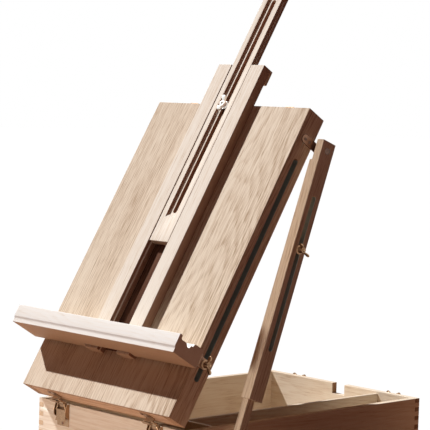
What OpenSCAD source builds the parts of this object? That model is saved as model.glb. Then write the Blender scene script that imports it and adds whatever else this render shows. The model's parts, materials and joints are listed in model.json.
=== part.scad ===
// Table box easel: a finger-jointed box whose hollow lid stands up as the painting board.
// Frame: X to the right, Y to the back, Z up, origin under the middle of the box.
// The lid is drawn in its own frame, [across, minus the depth in front of its back, along],
// and each arm in a frame that runs down the arm from its pin on the lid.

/* [Box] */
// Width of the box
box_w = 380; // [340:5:420]
// Depth of the box, front to back
box_d = 576; // [540:4:620]
// Height of the box
box_h = 112; // [100:2:140]
// Thickness of the four walls
wall_t = 12; // [10:1:14]
// Thickness of the floor
floor_t = 6; // [4:1:8]
// How far the floor runs into the walls
floor_rebate = 6; // [4:1:8]
// Number of fingers in the height of a corner
finger_count = 14; // [10:2:18]
// Width of the notch in the back wall
notch_w = 30; // [20:2:40]
// Depth of the notch in the back wall
notch_h = 20; // [12:2:30]

/* [Dividers] */
// Thickness of the dividers
divider_t = 6; // [4:1:8]
// Gap from the top of the dividers to the rim
divider_drop = 4; // [2:1:12]
// Distance of the long divider from the middle of the box
divider_x = 96; // [60:4:120]
// Distance of the cross divider from the front of the box
cross_y = 84; // [60:4:120]

/* [Lid] */
// Length of the lid
lid_len = 576; // [540:4:620]
// Thickness of the lid
lid_t = 41; // [36:1:46]
// How far the lid stands out past each side of the box
lid_over = 0.5; // [0.4:0.1:2]
// Thickness of the lid's two skins
lid_skin = 4; // [3:0.5:5]
// Width of the frame inside the lid
lid_frame = 18; // [14:1:22]
// Lean of the lid from upright at rest
lean = 31; // [20:1:40]
// Gap between rim and lid when closed
lid_gap = 0.5; // [0.3:0.1:1]
// Width of the slots in the lid's sides
lid_slot_w = 10; // [9:0.5:12]
// Lower end of the side slots, from the lid's foot
lid_slot_lo = 73; // [60:1:76]
// Upper end of the side slots
lid_slot_hi = 488; // [440:4:496]

/* [Hinges and catches] */
// Distance of the hinge axis in front of the box
hinge_out = 5.8; // [5.4:0.1:7]
// Height of the hinge axis above the rim
hinge_up = 2.1; // [1.8:0.1:3]
// Distance of hinges and catches from the sides of the box
catch_in = 69; // [60:1:100]
// Width of the hinge plates
hinge_w = 32; // [31:1:36]
// Width of the catch plates
plate_w = 28; // [27:1:34]
// Thickness of the hinge and catch plates
plate_t = 1.2; // [1:0.1:1.6]
// Height of the hinge plates
hinge_plate_h = 36; // [30:1:44]
// Radius of the hinge wire
hinge_wire_r = 1.5; // [1.3:0.1:1.7]
// Radius of the catch wire
catch_wire_r = 1.1; // [0.9:0.1:1.2]
// Height of the catch plates
catch_plate_h = 42; // [38:1:50]
// Length of the catch levers below their pin
lever_len = 34; // [30:1:36]
// Length of the catch bails
bail_len = 32.7; // [31:0.1:36]

/* [Rails and mast] */
// Width of the mast
mast_w = 48; // [40:1:56]
// Thickness of the mast
mast_t = 14.5; // [13:0.5:15.5]
// Length of the mast
mast_len = 571; // [540:1:600]
// Height of the mast's foot above the rails' foot at rest
mast_rise = 210; // [190:2:220]
// Width of each rail
rail_w = 32.5; // [26:0.5:38]
// Thickness of each rail
rail_t = 18.5; // [18:0.5:22]
// Length of each rail
rail_len = 566; // [556:1:600]
// Start of the rails above the lid's foot
rail_foot = 82; // [76:1:90]
// Width of the slot through the mast
mast_slot_w = 9; // [9:0.5:11]
// Lower margin of the mast's slot
mast_slot_lo = 58; // [50:1:70]
// Upper margin of the mast's slot
mast_slot_hi = 75; // [70:1:90]
// Width of the wide groove in the mast's face
mast_groove_w = 19; // [18:0.5:22]
// Depth of the wide groove
mast_groove_d = 5; // [4:0.5:6]
// Length of the bridge that joins the rails behind
bridge_len = 28; // [20:1:36]
// Thickness of the bridge
bridge_t = 6; // [5:0.5:8]

/* [Ledge] */
// Length of the ledge across the lid
ledge_w = 417; // [410:1:440]
// Depth of the ledge at its lip
ledge_d = 60.5; // [56:0.5:70]
// Height of the ledge
ledge_h = 32; // [28:1:38]
// Gap between lid and ledge
ledge_gap = 7; // [6:0.5:10]
// Height of the ledge's underside above the lid's foot
ledge_s = 86; // [84:1:100]
// Thickness of the ledge brackets
bracket_t = 2.5; // [2:0.1:3]

/* [Arms] */
// Width of the upper arm, outward
upper_w = 20; // [19:0.5:24]
// Depth of the upper arm
upper_d = 31; // [28:1:36]
// Length of the upper arm below its pin
upper_reach = 435.5; // [420:0.5:440]
// Length of the upper arm above its pin
upper_head = 16; // [14:0.5:20]
// Width of the lower arm, outward
lower_w = 13; // [12:0.5:14]
// Depth of the lower arm
lower_d = 16.3; // [15:0.1:18]
// Distance from the lower pin to the arm's clamp bolt
clamp_reach = 331; // [325:1:340]
// Width of the slot in the upper arm
arm_slot_w = 8.6; // [8.6:0.1:10]
// Distance of the pin from the lid's foot
arm_pin_s = 526; // [516:1:540]
// Distance of the pin behind the lid
arm_pin_back = 14.8; // [14.2:0.1:18]
// Distance of the lower pin from the front of the box
foot_pin_y = 109; // [100:1:120]
// Distance of the lower pin below the rim
foot_pin_drop = 25; // [20:1:30]
// Gap between box and lower arm
arm_gap = 1; // [0.8:0.1:2]

/* [Wing nuts] */
// Radius that the wings sweep
wing_r = 15.2; // [13:0.1:16]
// Height of the wing nuts
wing_h = 16; // [14:0.5:18]
// Radius of the bolts
bolt_r = 3; // [2.5:0.1:3.2]

/* [Handle] */
// Distance between the handle's pins
handle_w = 92; // [80:1:110]
// Drop of the handle below its pins
handle_drop = 36; // [30:1:44]
// Radius of the handle's wire
handle_wire_r = 2.5; // [2:0.1:3]
// Radius of the handle's grip
grip_r = 7; // [6:0.5:8]

/* [Hidden] */

$fn = 48;

// Common clearances and overruns
cut = 1;
bore_fit = 0.05;
slide_fit = 0.25;
face_fit = 0.1;

// Colours
board_wood = [0.86, 0.77, 0.66];
pale_wood = [0.92, 0.86, 0.79];
shade_wood = [0.74, 0.61, 0.48];
dark_steel = [0.24, 0.22, 0.21];
brass_tone = [0.66, 0.50, 0.33];
nickel_tone = [0.86, 0.85, 0.83];

// Places on the box
catch_x = box_w / 2 - catch_in;
finger_h = box_h / finger_count;
front_y = -box_d / 2;
back_y = box_d / 2;
divider_h = box_h - divider_drop - floor_t;
inner_w = box_w - 2 * wall_t;
inner_d = box_d - 2 * wall_t;

// Places on the lid
lid_w = box_w + 2 * lid_over;
hinge_y = front_y - hinge_out;
hinge_z = box_h + hinge_up;
open_angle = 90 - lean;
lid_core = lid_t - 2 * lid_skin;
slot_n = lid_t / 2;

// Places on mast and rails
mast_gap = 0.8;
rail_in = mast_w / 2 + mast_gap;
rail_out = rail_in + rail_w;
mast_face = lid_t + rail_t - mast_gap;
mast_foot = rail_foot + mast_rise;
mast_floor = mast_face - mast_groove_d;
mast_ramp = 8;
groove_past = 3;
side_groove_d = 4;
side_groove_w = 4;
side_groove_n = mast_face - mast_t / 2;
side_groove_top = mast_len - mast_slot_hi;
tongue_t = 3.4;
tongue_end = side_groove_top - mast_groove_d;
mast_bolt_s = lid_len - lid_frame / 2;
mast_bolt_sink = 25;
mast_bolt_root = lid_t - mast_bolt_sink;
mast_bolt_end = mast_floor + wing_low + wing_low + 1;
shoulder_r = mast_slot_w / 2 - face_fit;

// Places on the ledge
ledge_back = lid_t + ledge_gap;
lip_t = 6.2;
lip_h = 7;
tray_w = 14;
groove_w = 6;
groove_drop = 5.3;
step_w = 8;
rest_w = 19;
rest_slope = 1;
bead_h = 9.5;
bead_w = 2;
bead_d = 1.5;
ledge_front = ledge_back + ledge_d;
bead_set = 2;
cutout_side = 2;
cutout_depth = rail_t - ledge_gap + 2.5;
ledge_bolt_up = 18;
ledge_bolt_s = ledge_s + ledge_bolt_up;
bracket_r = 9;
bracket_foot = 15;
bracket_in = lid_w / 2 + slide_fit + slide_fit;
bracket_out = bracket_in + bracket_t;
bolt_head_r = 8;
bolt_head_h = 4;
nut_past = wing_h - 2;

// Places on the arms
strap_t = 2.5;
strap_r = 7.5;
strap_front = 23.5;
lower_in = box_w / 2 + arm_gap;
lower_out = lower_in + lower_w;
upper_in = lid_w / 2 + strap_t + slide_fit;
upper_out = upper_in + upper_w;
rebate_d = 5;
rebate_len = 20;
arm_slot_top = 80;
arm_slot_end = 351;
channel_top = 62;
clamp_top = 22;
pin_r = 3.5;
pin_head_r = 5.6;
pin_head_h = 2;
pin_sink = 2.5;
collar_r = 6.5;
foot_head_r = 6;
foot_head_h = 3;
foot_sink = 3.4;
clamp_head_r = 7;
clamp_head_h = 3;
clamp_sink = 3.4;
washer_r = 8;

// The pin of the arms in the box frame, and the arm's slope from it to the lower pin
pin_run = [arm_pin_s + hinge_out, lid_gap - hinge_up - arm_pin_back];
arm_pin_y = hinge_y + pin_run.x * cos(open_angle) - pin_run.y * sin(open_angle);
arm_pin_z = hinge_z + pin_run.x * sin(open_angle) + pin_run.y * cos(open_angle);
foot_y = front_y + foot_pin_y;
foot_z = box_h - foot_pin_drop;
arm_lean = atan2(arm_pin_y - foot_y, arm_pin_z - foot_z);
arm_len = norm([arm_pin_y - foot_y, arm_pin_z - foot_z]);
clamp_drop = arm_len - clamp_reach;

// Wing nut
hub_r = 6;
flange_r = 8;
flange_h = 1.5;
wing_t = 3;
wing_low = 5.5;
lobe_r = 4;

// Screws
screw_r = 1.3;
screw_head_r = 2.6;
screw_head_h = 1.2;
screw_len = 10;

// Hinge plates
knuckle_r = 3.2;
knuckle_w = 16;
tongue_drop = 9;
plate_low = 40;
boss_h = 14;
boss_t = 3;
boss_in = 6;
plate_screw_in = 3.5;
hinge_screw_drop = [34.5, 22.5];
bar_out = 6;
bar_drop = 11.5;
bar_r = 1.3;
stay_x = 12.5;
stay_top = 7.5;
ear_out = 9.5;
ear_len = 17;
clip_w = 25;
clip_t = 1.4;
clip_len = 19;
clip_lip = 2.6;

// Catches: the lever's pin, the bail's pin on the lever, ears and cheeks
ear_t = 1.2;
ear_r = 5;
lever_out = 6.5;
lever_drop = 3.5;
bail_in = 0.8;
bail_drop = 9;
lever_w = 20;
lever_t = 1.6;
cheek_t = 1.2;
cheek_r = 3.5;
lever_face = 8;
curl_r = 1.8;
catch_pin_r = 1.2;
leg_x = lever_w / 2 + slide_fit + catch_wire_r;
ear_x = leg_x + catch_wire_r + slide_fit;
catch_low = catch_plate_h + ear_t;

// Keepers on the lid's two ends
keeper_w = 20;
keeper_low = 13;
keeper_h = 19;
hook_depth = 14;
hook_out = 12;
hook_rise = 8;
hook_wire = 7.5;
keeper_screw_x = 7;
keeper_screw_depth = 28.5;

// Handle
handle_out = 9;
handle_z = box_h - notch_h - 4;
ear_plate_w = 16;
ear_plate_h = 26;
ear_block = 8;
handle_ear_r = 6;
handle_bend = 10;
handle_leg = handle_w / 2 - ear_block / 2 - handle_wire_r - slide_fit;
grip_len = 2 * (handle_leg - handle_bend) - 1;

// Placing

module lid_place()
  translate([0, hinge_y, hinge_z])
    rotate([open_angle, 0, 0])
      translate([0, hinge_out, lid_gap - hinge_up])
        rotate([-90, 0, 0])
          children();

module arm_place()
  translate([0, arm_pin_y, arm_pin_z])
    rotate([-arm_lean, 0, 0])
      children();

// Draws its children on one side: 1 is the right side and -1 the left
module on_side(side)
  mirror([side < 0 ? 1 : 0, 0, 0])
    children();

// A block between two corners
module block(low, high)
  translate(low)
    cube(high - low);

// A block on the lid: across, along and in front of the lid's back
module lid_block(u, s, n)
  block([u[0], -n[1], s[0]], [u[1], -n[0], s[1]]);

// A rod along the depth of the lid
module lid_rod(u, s, n, r)
  translate([u, -n[0], s])
    rotate([90, 0, 0])
      cylinder(r = r, h = n[1] - n[0]);

// A rod along X
module x_rod(x, y, z, r)
  translate([x[0], y, z])
    rotate([0, 90, 0])
      cylinder(r = r, h = x[1] - x[0]);

// A plate across X whose outline is drawn as [y, z]
module x_plate(x)
  translate([x[0], 0, 0])
    rotate([90, 0, 90])
      linear_extrude(x[1] - x[0])
        children();

// A screw that points along -Z with the underside of its head at zero
module screw(len = screw_len) {
  cylinder(r = screw_head_r, h = screw_head_h);
  translate([0, 0, -len])
    cylinder(r = screw_r, h = len);
}

// The hole for such a screw
module screw_hole(len = screw_len)
  translate([0, 0, -len - face_fit])
    cylinder(r = screw_r + bore_fit, h = len + cut);

// A wing nut with its seat at zero and its axis along +Z
module wing_nut() {
  difference() {
    union() {
      cylinder(r = flange_r, h = flange_h);
      cylinder(r1 = hub_r, r2 = hub_r - flange_h, h = wing_low + wing_low);
      for (turn = [0, 180])
        rotate([90, 0, turn])
          translate([0, 0, -wing_t / 2])
            linear_extrude(wing_t)
              wing_outline();
    }
    translate([0, 0, -cut])
      cylinder(r = bolt_r + bore_fit, h = wing_h + cut + cut);
  }
}

module wing_outline() {
  lobe_x = wing_r - lobe_r;
  lobe_z = wing_h - lobe_r;
  translate([lobe_x, lobe_z])
    circle(r = lobe_r);
  polygon([
    [hub_r / 2, wing_low], [hub_r, wing_low], [lobe_x + lobe_r * sin(45), lobe_z - lobe_r * cos(45)],
    [lobe_x - lobe_r * sin(45), lobe_z + lobe_r * cos(45)], [hub_r - flange_h, wing_low + wing_low],
    [hub_r / 2, wing_low + wing_low]
  ]);
}

// Box

// The fingers of one wall at one height index, drawn over the corner's width
module fingers(first, x, y)
  for (i = [first : 2 : finger_count - 1])
    block([x[0], y[0], i * finger_h], [x[1], y[1], (i + 1) * finger_h]);

module floor_block() {
  half_w = inner_w / 2 + floor_rebate;
  half_d = inner_d / 2 + floor_rebate;
  block([-half_w, -half_d, 0], [half_w, half_d, floor_t]);
}

// A front or back wall, drawn at the front
module cross_wall() {
  y = [front_y, front_y + wall_t];
  difference() {
    union() {
      block([-inner_w / 2, y[0], 0], [inner_w / 2, y[1], box_h]);
      for (side = [-1, 1])
        on_side(side)
          fingers(1, [inner_w / 2, box_w / 2], y);
    }
    floor_block();
  }
}

// A side wall, drawn at the right
module side_wall() {
  x = [inner_w / 2, box_w / 2];
  difference() {
    union() {
      block([x[0], -inner_d / 2, 0], [x[1], inner_d / 2, box_h]);
      for (end = [0, 1])
        mirror([0, end, 0])
          fingers(0, x, [inner_d / 2, box_d / 2]);
    }
    floor_block();
  }
}

module box_front()
  color(shade_wood)
    difference() {
      cross_wall();
      for (place = hinge_screw_places())
        translate([place.x, front_y - plate_t, place.z])
          rotate([90, 0, 0])
            screw_hole();
    }

module box_back()
  color(shade_wood)
    difference() {
      mirror([0, 1, 0])
        cross_wall();
      block([-notch_w / 2, inner_d / 2 - cut, box_h - notch_h], [notch_w / 2, back_y + cut, box_h + cut]);
      for (place = catch_screw_places())
        translate([place.x, back_y + plate_t, place.z])
          rotate([-90, 0, 0])
            screw_hole();
      for (place = handle_screw_places())
        translate([place.x, back_y + plate_t, place.z])
          rotate([-90, 0, 0])
            screw_hole();
    }

module box_left()
  color(shade_wood)
    on_side(-1)
      side_wall();

module box_right()
  color(shade_wood)
    side_wall();

module box_floor()
  color(shade_wood)
    floor_block();

module divider_long()
  color(board_wood)
    translate([divider_x - divider_t / 2, -inner_d / 2, floor_t])
      cube([divider_t, inner_d, divider_h]);

module divider_cross()
  color(board_wood)
    block(
      [divider_x + divider_t / 2, front_y + cross_y - divider_t / 2, floor_t],
      [inner_w / 2, front_y + cross_y + divider_t / 2, floor_t + divider_h]
    );

// Hinges at the front

function hinge_screw_places() = [
  for (side = [-1, 1])
    for (drop = hinge_screw_drop)
      [side * catch_x, 0, box_h - drop]
];

module hinge_plates()
  color(brass_tone)
    for (side = [-1, 1])
      translate([side * catch_x, front_y, box_h])
        hinge_plate();

// One hinge: a plate with ears, a knuckle for the axis, and a clip on a bar between the ears
module hinge_plate() {
  difference() {
    union() {
      block([-hinge_w / 2, -plate_t, -plate_low], [hinge_w / 2, 0, hinge_plate_h - plate_low]);
      block(
        [boss_in - hinge_w / 2, -boss_t, hinge_plate_h - plate_low - boss_h],
        [hinge_w / 2 - boss_in, -plate_t, hinge_plate_h - plate_low]
      );
      x_plate([-knuckle_w / 2, knuckle_w / 2]) {
        polygon([
          [0, -tongue_drop], [0, -face_fit], [knuckle_r - hinge_out, hinge_up],
          [-hinge_out, hinge_up], [-hinge_out, hinge_up - knuckle_r], [-boss_t, -tongue_drop]
        ]);
        translate([-hinge_out, hinge_up])
          circle(r = knuckle_r);
      }
      for (side = [-1, 1])
        on_side(side) {
          x_plate([hinge_w / 2 - ear_t, hinge_w / 2])
            polygon([
              [0, -face_fit], [-bar_out, -face_fit], [-ear_out, -bar_drop],
              [-ear_out, -bar_drop - ear_len / 2], [0, -bar_drop - ear_len]
            ]);
          translate([stay_x, -bar_out, -bar_drop])
            rotate([0, -atan2(stay_x - stay_top, bar_drop), 0])
              cylinder(r = bar_r, h = norm([stay_x - stay_top, bar_drop]));
        }
      x_rod([ear_t / 2 - hinge_w / 2, hinge_w / 2 - ear_t / 2], -bar_out, -bar_drop, bar_r);
      x_plate([-clip_w / 2, clip_w / 2])
        polygon([
          [-bar_out - bar_r, -bar_drop], [-bar_out, -bar_drop - clip_len * 2 / 3],
          [-bar_out - clip_lip, -bar_drop - clip_len], [clip_t - bar_out - clip_lip, -bar_drop - clip_len],
          [clip_t - bar_out, -bar_drop - clip_len * 2 / 3], [clip_t - bar_out, -bar_drop]
        ]);
    }
    x_rod([-hinge_w, hinge_w], -hinge_out, hinge_up, hinge_wire_r + bore_fit);
    for (drop = hinge_screw_drop)
      translate([0, -plate_t, -drop])
        rotate([90, 0, 0])
          screw_hole();
  }
}

module hinge_screws()
  color(dark_steel)
    for (place = hinge_screw_places())
      translate([place.x, front_y - plate_t, place.z])
        rotate([90, 0, 0])
          screw();

// A closed loop of wire in the XZ plane, its lower run along X through the origin
module wire_loop(half, height, r) {
  for (z = [0, height])
    x_rod([-half, half], 0, z, r);
  for (x = [-half, half])
    translate([x, 0, 0])
      cylinder(r = r, h = height);
  for (x = [-half, half])
    for (z = [0, height])
      translate([x, 0, z])
        sphere(r = r);
}

module hinge_bails() {
  rise = [hook_wire - hinge_out, hook_depth + plate_t + hinge_wire_r + face_fit - (hinge_up - lid_gap)];
  color(brass_tone)
    lid_place()
      for (side = [-1, 1])
        translate([side * catch_x, lid_gap - hinge_up, -hinge_out])
          rotate([90 + atan2(rise[0], rise[1]), 0, 0])
            wire_loop(keeper_w / 2 + hinge_wire_r + slide_fit, norm(rise), hinge_wire_r);
}

// Keepers, on both ends of the lid. The outline is [distance past the end, depth]
module keeper() {
  difference() {
    union() {
      x_plate([-keeper_w / 2, keeper_w / 2])
        polygon([
          [0, keeper_low], [hook_out, keeper_low], [hook_out, hook_depth + hook_rise],
          [hook_out - plate_t, hook_depth + hook_rise], [hook_out - plate_t, hook_depth + plate_t],
          [plate_t, hook_depth + plate_t], [plate_t, keeper_low + keeper_h], [0, keeper_low + keeper_h]
        ]);
    }
    for (x = [-1, 1])
      translate([x * keeper_screw_x, plate_t, keeper_screw_depth])
        rotate([-90, 0, 0])
          screw_hole();
  }
}

// Places its children on the lid's foot or top: Y runs out past the end and Z along the depth
module lid_end(top)
  lid_place()
    translate([0, 0, top ? lid_len : 0])
      rotate([90, 0, 0])
        mirror([0, top ? 0 : 1, 0])
          children();

module keepers()
  color(brass_tone)
    for (top = [false, true])
      for (side = [-1, 1])
        lid_end(top)
          translate([side * catch_x, 0, 0])
            keeper();

module keeper_fasteners(hole)
  for (side = [-1, 1])
    for (x = [-1, 1])
      translate([side * catch_x + x * keeper_screw_x, plate_t, keeper_screw_depth])
        rotate([-90, 0, 0])
          if (hole) screw_hole();
          else screw();

module keeper_screws()
  color(dark_steel)
    for (top = [false, true])
      lid_end(top)
        keeper_fasteners(false);

// Catches at the back, drawn with Y out of the wall and Z from the rim

function catch_screw_places() = [
  for (side = [-1, 1])
    for (x = [-1, 1])
      [side * catch_x + x * (plate_w / 2 - plate_screw_in), 0, box_h - catch_low + plate_screw_in]
];

module at_catch(side)
  translate([side * catch_x, back_y, box_h])
    children();

module catch_plate() {
  half = ear_x + ear_t;
  difference() {
    union() {
      block([-half, 0, -catch_low], [half, plate_t, -ear_t]);
      for (side = [-1, 1])
        on_side(side)
          x_plate([ear_x, half]) {
            translate([lever_out, -lever_drop])
              circle(r = ear_r);
            polygon([
              [0, -lever_drop - ear_r - ear_r], [lever_out, -lever_drop - ear_r],
              [lever_out, ear_r - lever_drop], [0, -ear_t]
            ]);
          }
    }
    x_rod([-plate_w, plate_w], lever_out, -lever_drop, catch_pin_r + bore_fit);
    for (x = [-1, 1])
      translate([x * (plate_w / 2 - plate_screw_in), plate_t, plate_screw_in - catch_low])
        rotate([-90, 0, 0])
          screw_hole();
  }
}

module catch_lever()
  difference() {
    union() {
      block(
        [-lever_w / 2, lever_face, -lever_drop - lever_len],
        [lever_w / 2, lever_face + lever_t, -lever_drop]
      );
      x_rod([-lever_w / 2, lever_w / 2], lever_face + curl_r, -lever_drop - lever_len, curl_r);
      for (side = [-1, 1])
        on_side(side)
          x_plate([lever_w / 2 - cheek_t, lever_w / 2]) {
            translate([lever_out, -lever_drop])
              circle(r = cheek_r);
            polygon([
              [lever_out - cheek_r, -lever_drop], [lever_out - cheek_r, -lever_drop - bail_drop - cheek_r],
              [lever_face, -lever_drop - lever_len / 2], [lever_face + lever_t, -lever_drop - lever_len / 2],
              [lever_face + lever_t, -lever_drop]
            ]);
          }
    }
    x_rod([-plate_w, plate_w], lever_out, -lever_drop, catch_pin_r + bore_fit);
    x_rod([-plate_w, plate_w], lever_out - bail_in, -lever_drop - bail_drop, catch_wire_r + bore_fit);
  }

module catch_bail()
  translate([0, lever_out - bail_in, -lever_drop - bail_drop - bail_len])
    wire_loop(leg_x, bail_len, catch_wire_r);

module catch_plates()
  color(brass_tone)
    for (side = [-1, 1])
      at_catch(side)
        catch_plate();

module catch_screws()
  color(dark_steel)
    for (place = catch_screw_places())
      translate([place.x, back_y + plate_t, place.z])
        rotate([-90, 0, 0])
          screw();

module catch_pins()
  color(dark_steel)
    for (side = [-1, 1])
      at_catch(side)
        for (end = [-1, 1])
          on_side(end)
            x_rod(
              [lever_w / 2 - cheek_t - cheek_t, ear_x + ear_t + face_fit],
              lever_out, -lever_drop, catch_pin_r
            );

module catch_lever_left()
  color(brass_tone)
    at_catch(-1)
      catch_lever();

module catch_lever_right()
  color(brass_tone)
    at_catch(1)
      catch_lever();

module catch_bail_left()
  color(brass_tone)
    at_catch(-1)
      catch_bail();

module catch_bail_right()
  color(brass_tone)
    at_catch(1)
      catch_bail();

// Handle at the back

function handle_screw_places() = [
  for (side = [-1, 1])
    for (z = [-1, 1])
      [side * handle_w / 2, 0, handle_z + z * (ear_plate_h / 2 - plate_screw_in)]
];

module handle_brackets()
  color(dark_steel)
    for (side = [-1, 1])
      translate([side * handle_w / 2, back_y, handle_z])
        difference() {
          union() {
            block([-ear_plate_w / 2, 0, -ear_plate_h / 2], [ear_plate_w / 2, plate_t, ear_plate_h / 2]);
            x_plate([-ear_block / 2, ear_block / 2]) {
              translate([handle_out, 0])
                circle(r = handle_ear_r);
              translate([0, -handle_ear_r])
                square([handle_out, 2 * handle_ear_r]);
            }
          }
          x_rod([-ear_block, ear_block], handle_out, 0, handle_wire_r + bore_fit);
          for (z = [-1, 1])
            translate([0, plate_t, z * (ear_plate_h / 2 - plate_screw_in)])
              rotate([-90, 0, 0])
                screw_hole();
        }

module handle_screws()
  color(nickel_tone)
    for (place = handle_screw_places())
      translate([place.x, back_y + plate_t, place.z])
        rotate([-90, 0, 0])
          screw();

module handle_wire()
  color(dark_steel)
    translate([0, back_y + handle_out, handle_z])
      for (side = [-1, 1])
        on_side(side) {
          x_rod([handle_leg, handle_w / 2 + ear_block / 2], 0, 0, handle_wire_r);
          translate([handle_leg, 0, 0])
            sphere(r = handle_wire_r);
          translate([handle_leg, 0, handle_bend - handle_drop])
            cylinder(r = handle_wire_r, h = handle_drop - handle_bend);
          translate([handle_leg - handle_bend, 0, handle_bend - handle_drop])
            rotate([-90, 0, 0])
              rotate_extrude(angle = 90)
                translate([handle_bend, 0])
                  circle(r = handle_wire_r);
          x_rod([0, handle_leg - handle_bend], 0, -handle_drop, handle_wire_r);
        }

module handle_grip()
  color(shade_wood)
    translate([0, back_y + handle_out, handle_z - handle_drop])
      difference() {
        x_rod([-grip_len / 2, grip_len / 2], 0, 0, grip_r);
        x_rod([-grip_len, grip_len], 0, 0, handle_wire_r + bore_fit);
      }

// Lid

module lid_front_skin()
  color(board_wood)
    lid_place()
      difference() {
        lid_block([-lid_w / 2, lid_w / 2], [0, lid_len], [lid_t - lid_skin, lid_t]);
        lid_rod(0, mast_bolt_s, [0, lid_t + cut], bolt_r + bore_fit);
      }

module lid_back_skin()
  color(board_wood)
    lid_place()
      lid_block([-lid_w / 2, lid_w / 2], [0, lid_len], [0, lid_skin]);

module lid_side() {
  inside = lid_w / 2 - lid_frame;
  difference() {
    lid_block([inside, lid_w / 2], [0, lid_len], [lid_skin, lid_t - lid_skin]);
    for (s = [lid_slot_lo + lid_slot_w / 2, lid_slot_hi - lid_slot_w / 2])
      x_rod([inside - cut, lid_w / 2 + cut], -slot_n, s, lid_slot_w / 2);
    lid_block(
      [inside - cut, lid_w / 2 + cut],
      [lid_slot_lo + lid_slot_w / 2, lid_slot_hi - lid_slot_w / 2],
      [slot_n - lid_slot_w / 2, slot_n + lid_slot_w / 2]
    );
    strap_fasteners(true);
  }
}

module lid_side_left()
  color(board_wood)
    lid_place()
      on_side(-1)
        lid_side();

module lid_side_right()
  color(board_wood)
    lid_place()
      lid_side();

module lid_end_rail(s)
  lid_block([lid_frame - lid_w / 2, lid_w / 2 - lid_frame], s, [lid_skin, lid_t - lid_skin]);

module lid_top_rail()
  color(board_wood)
    difference() {
      lid_place()
        difference() {
          lid_end_rail([lid_len - lid_frame, lid_len]);
          lid_rod(0, mast_bolt_s, [mast_bolt_root - face_fit, lid_t + cut], bolt_r + bore_fit);
        }
      lid_end(true)
        keeper_fasteners(true);
    }

module lid_bottom_rail()
  color(board_wood)
    difference() {
      lid_place()
        lid_end_rail([0, lid_frame]);
      lid_end(false)
        keeper_fasteners(true);
    }

// Rails and mast

module rail()
  union() {
    lid_block([rail_in, rail_out], [rail_foot, rail_foot + rail_len], [lid_t, lid_t + rail_t]);
    lid_block(
      [rail_in - side_groove_d + mast_gap - slide_fit, rail_in + cut],
      [rail_foot, rail_foot + tongue_end],
      [side_groove_n - tongue_t / 2, side_groove_n + tongue_t / 2]
    );
  }

module rail_left()
  color(pale_wood)
    lid_place()
      on_side(-1)
        difference() {
          rail();
          bridge_fasteners(true);
        }

module rail_right()
  color(pale_wood)
    lid_place()
      difference() {
        rail();
        bridge_fasteners(true);
      }

module bridge_fasteners(hole)
  for (s = [1, 3])
    translate([rail_in + rail_w / 2, bridge_t - lid_t, rail_foot + rail_len - bridge_len * s / 4])
      rotate([-90, 0, 0])
        if (hole) screw_hole();
        else screw();

module rail_bridge()
  color(pale_wood)
    lid_place()
      difference() {
        lid_block(
          [-rail_out, rail_out],
          [rail_foot + rail_len - bridge_len, rail_foot + rail_len],
          [lid_t - bridge_t, lid_t]
        );
        for (side = [-1, 1])
          on_side(side)
            bridge_fasteners(true);
      }

module bridge_screws()
  color(dark_steel)
    lid_place()
      for (side = [-1, 1])
        on_side(side)
          bridge_fasteners(false);

module mast() {
  slot = [mast_slot_lo, mast_len - mast_slot_hi];
  flat = [slot[0] - groove_past, slot[1] + groove_past];
  color(pale_wood)
    lid_place()
      translate([0, 0, mast_foot])
        difference() {
          lid_block([-mast_w / 2, mast_w / 2], [0, mast_len], [mast_face - mast_t, mast_face]);
          lid_block(
            [-mast_slot_w / 2, mast_slot_w / 2],
            [slot[0] + mast_slot_w / 2, slot[1] - mast_slot_w / 2],
            [lid_t, mast_face + cut]
          );
          for (s = [slot[0] + mast_slot_w / 2, slot[1] - mast_slot_w / 2])
            lid_rod(0, s, [lid_t, mast_face + cut], mast_slot_w / 2);
          x_plate([-mast_groove_w / 2, mast_groove_w / 2])
            polygon([
              [-mast_floor, flat[0]], [-mast_floor, flat[1]],
              [-mast_face, flat[1] + mast_ramp], [-mast_face - cut, flat[1] + mast_ramp],
              [-mast_face - cut, flat[0] - mast_ramp], [-mast_face, flat[0] - mast_ramp]
            ]);
          for (side = [-1, 1])
            on_side(side)
              lid_block(
                [mast_w / 2 - side_groove_d, mast_w / 2 + cut],
                [-cut, side_groove_top],
                [side_groove_n - side_groove_w / 2, side_groove_n + side_groove_w / 2]
              );
        }
}

module mast_bolt()
  color(dark_steel)
    lid_place() {
      lid_rod(0, mast_bolt_s, [mast_bolt_root, mast_bolt_end], bolt_r);
      lid_rod(0, mast_bolt_s, [lid_t, mast_floor - face_fit], shoulder_r);
    }

module mast_wing_nut()
  color(nickel_tone)
    lid_place()
      translate([0, -mast_floor - face_fit, mast_bolt_s])
        rotate([90, 90, 0])
          wing_nut();

// Ledge

// The outline of the ledge, [height above its underside, depth in front of the lid's back]
module ledge_outline() {
  front = ledge_front;
  lip_back = front - lip_t;
  tray_h = ledge_h - lip_h;
  tray_back = lip_back - tray_w;
  groove_front = tray_back - groove_drop;
  groove_back = groove_front - groove_w;
  rest_front = groove_back - step_w;
  difference() {
    polygon([
      [-ledge_back, 0], [bead_set - front, 0], [bead_set - front, bead_h], [-front, bead_h + bead_w],
      [-front, ledge_h], [-lip_back, ledge_h], [-lip_back + rest_slope, tray_h], [-tray_back, tray_h],
      [-groove_front, tray_h - groove_drop], [-groove_back, tray_h - groove_drop],
      [-rest_front - rest_slope, ledge_h - rest_slope - rest_slope], [-rest_front, ledge_h - rest_slope],
      [-ledge_back, ledge_h]
    ]);
    translate([bead_set - front - bead_d, bead_h])
      square([bead_d + bead_d, bead_w]);
  }
}

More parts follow.
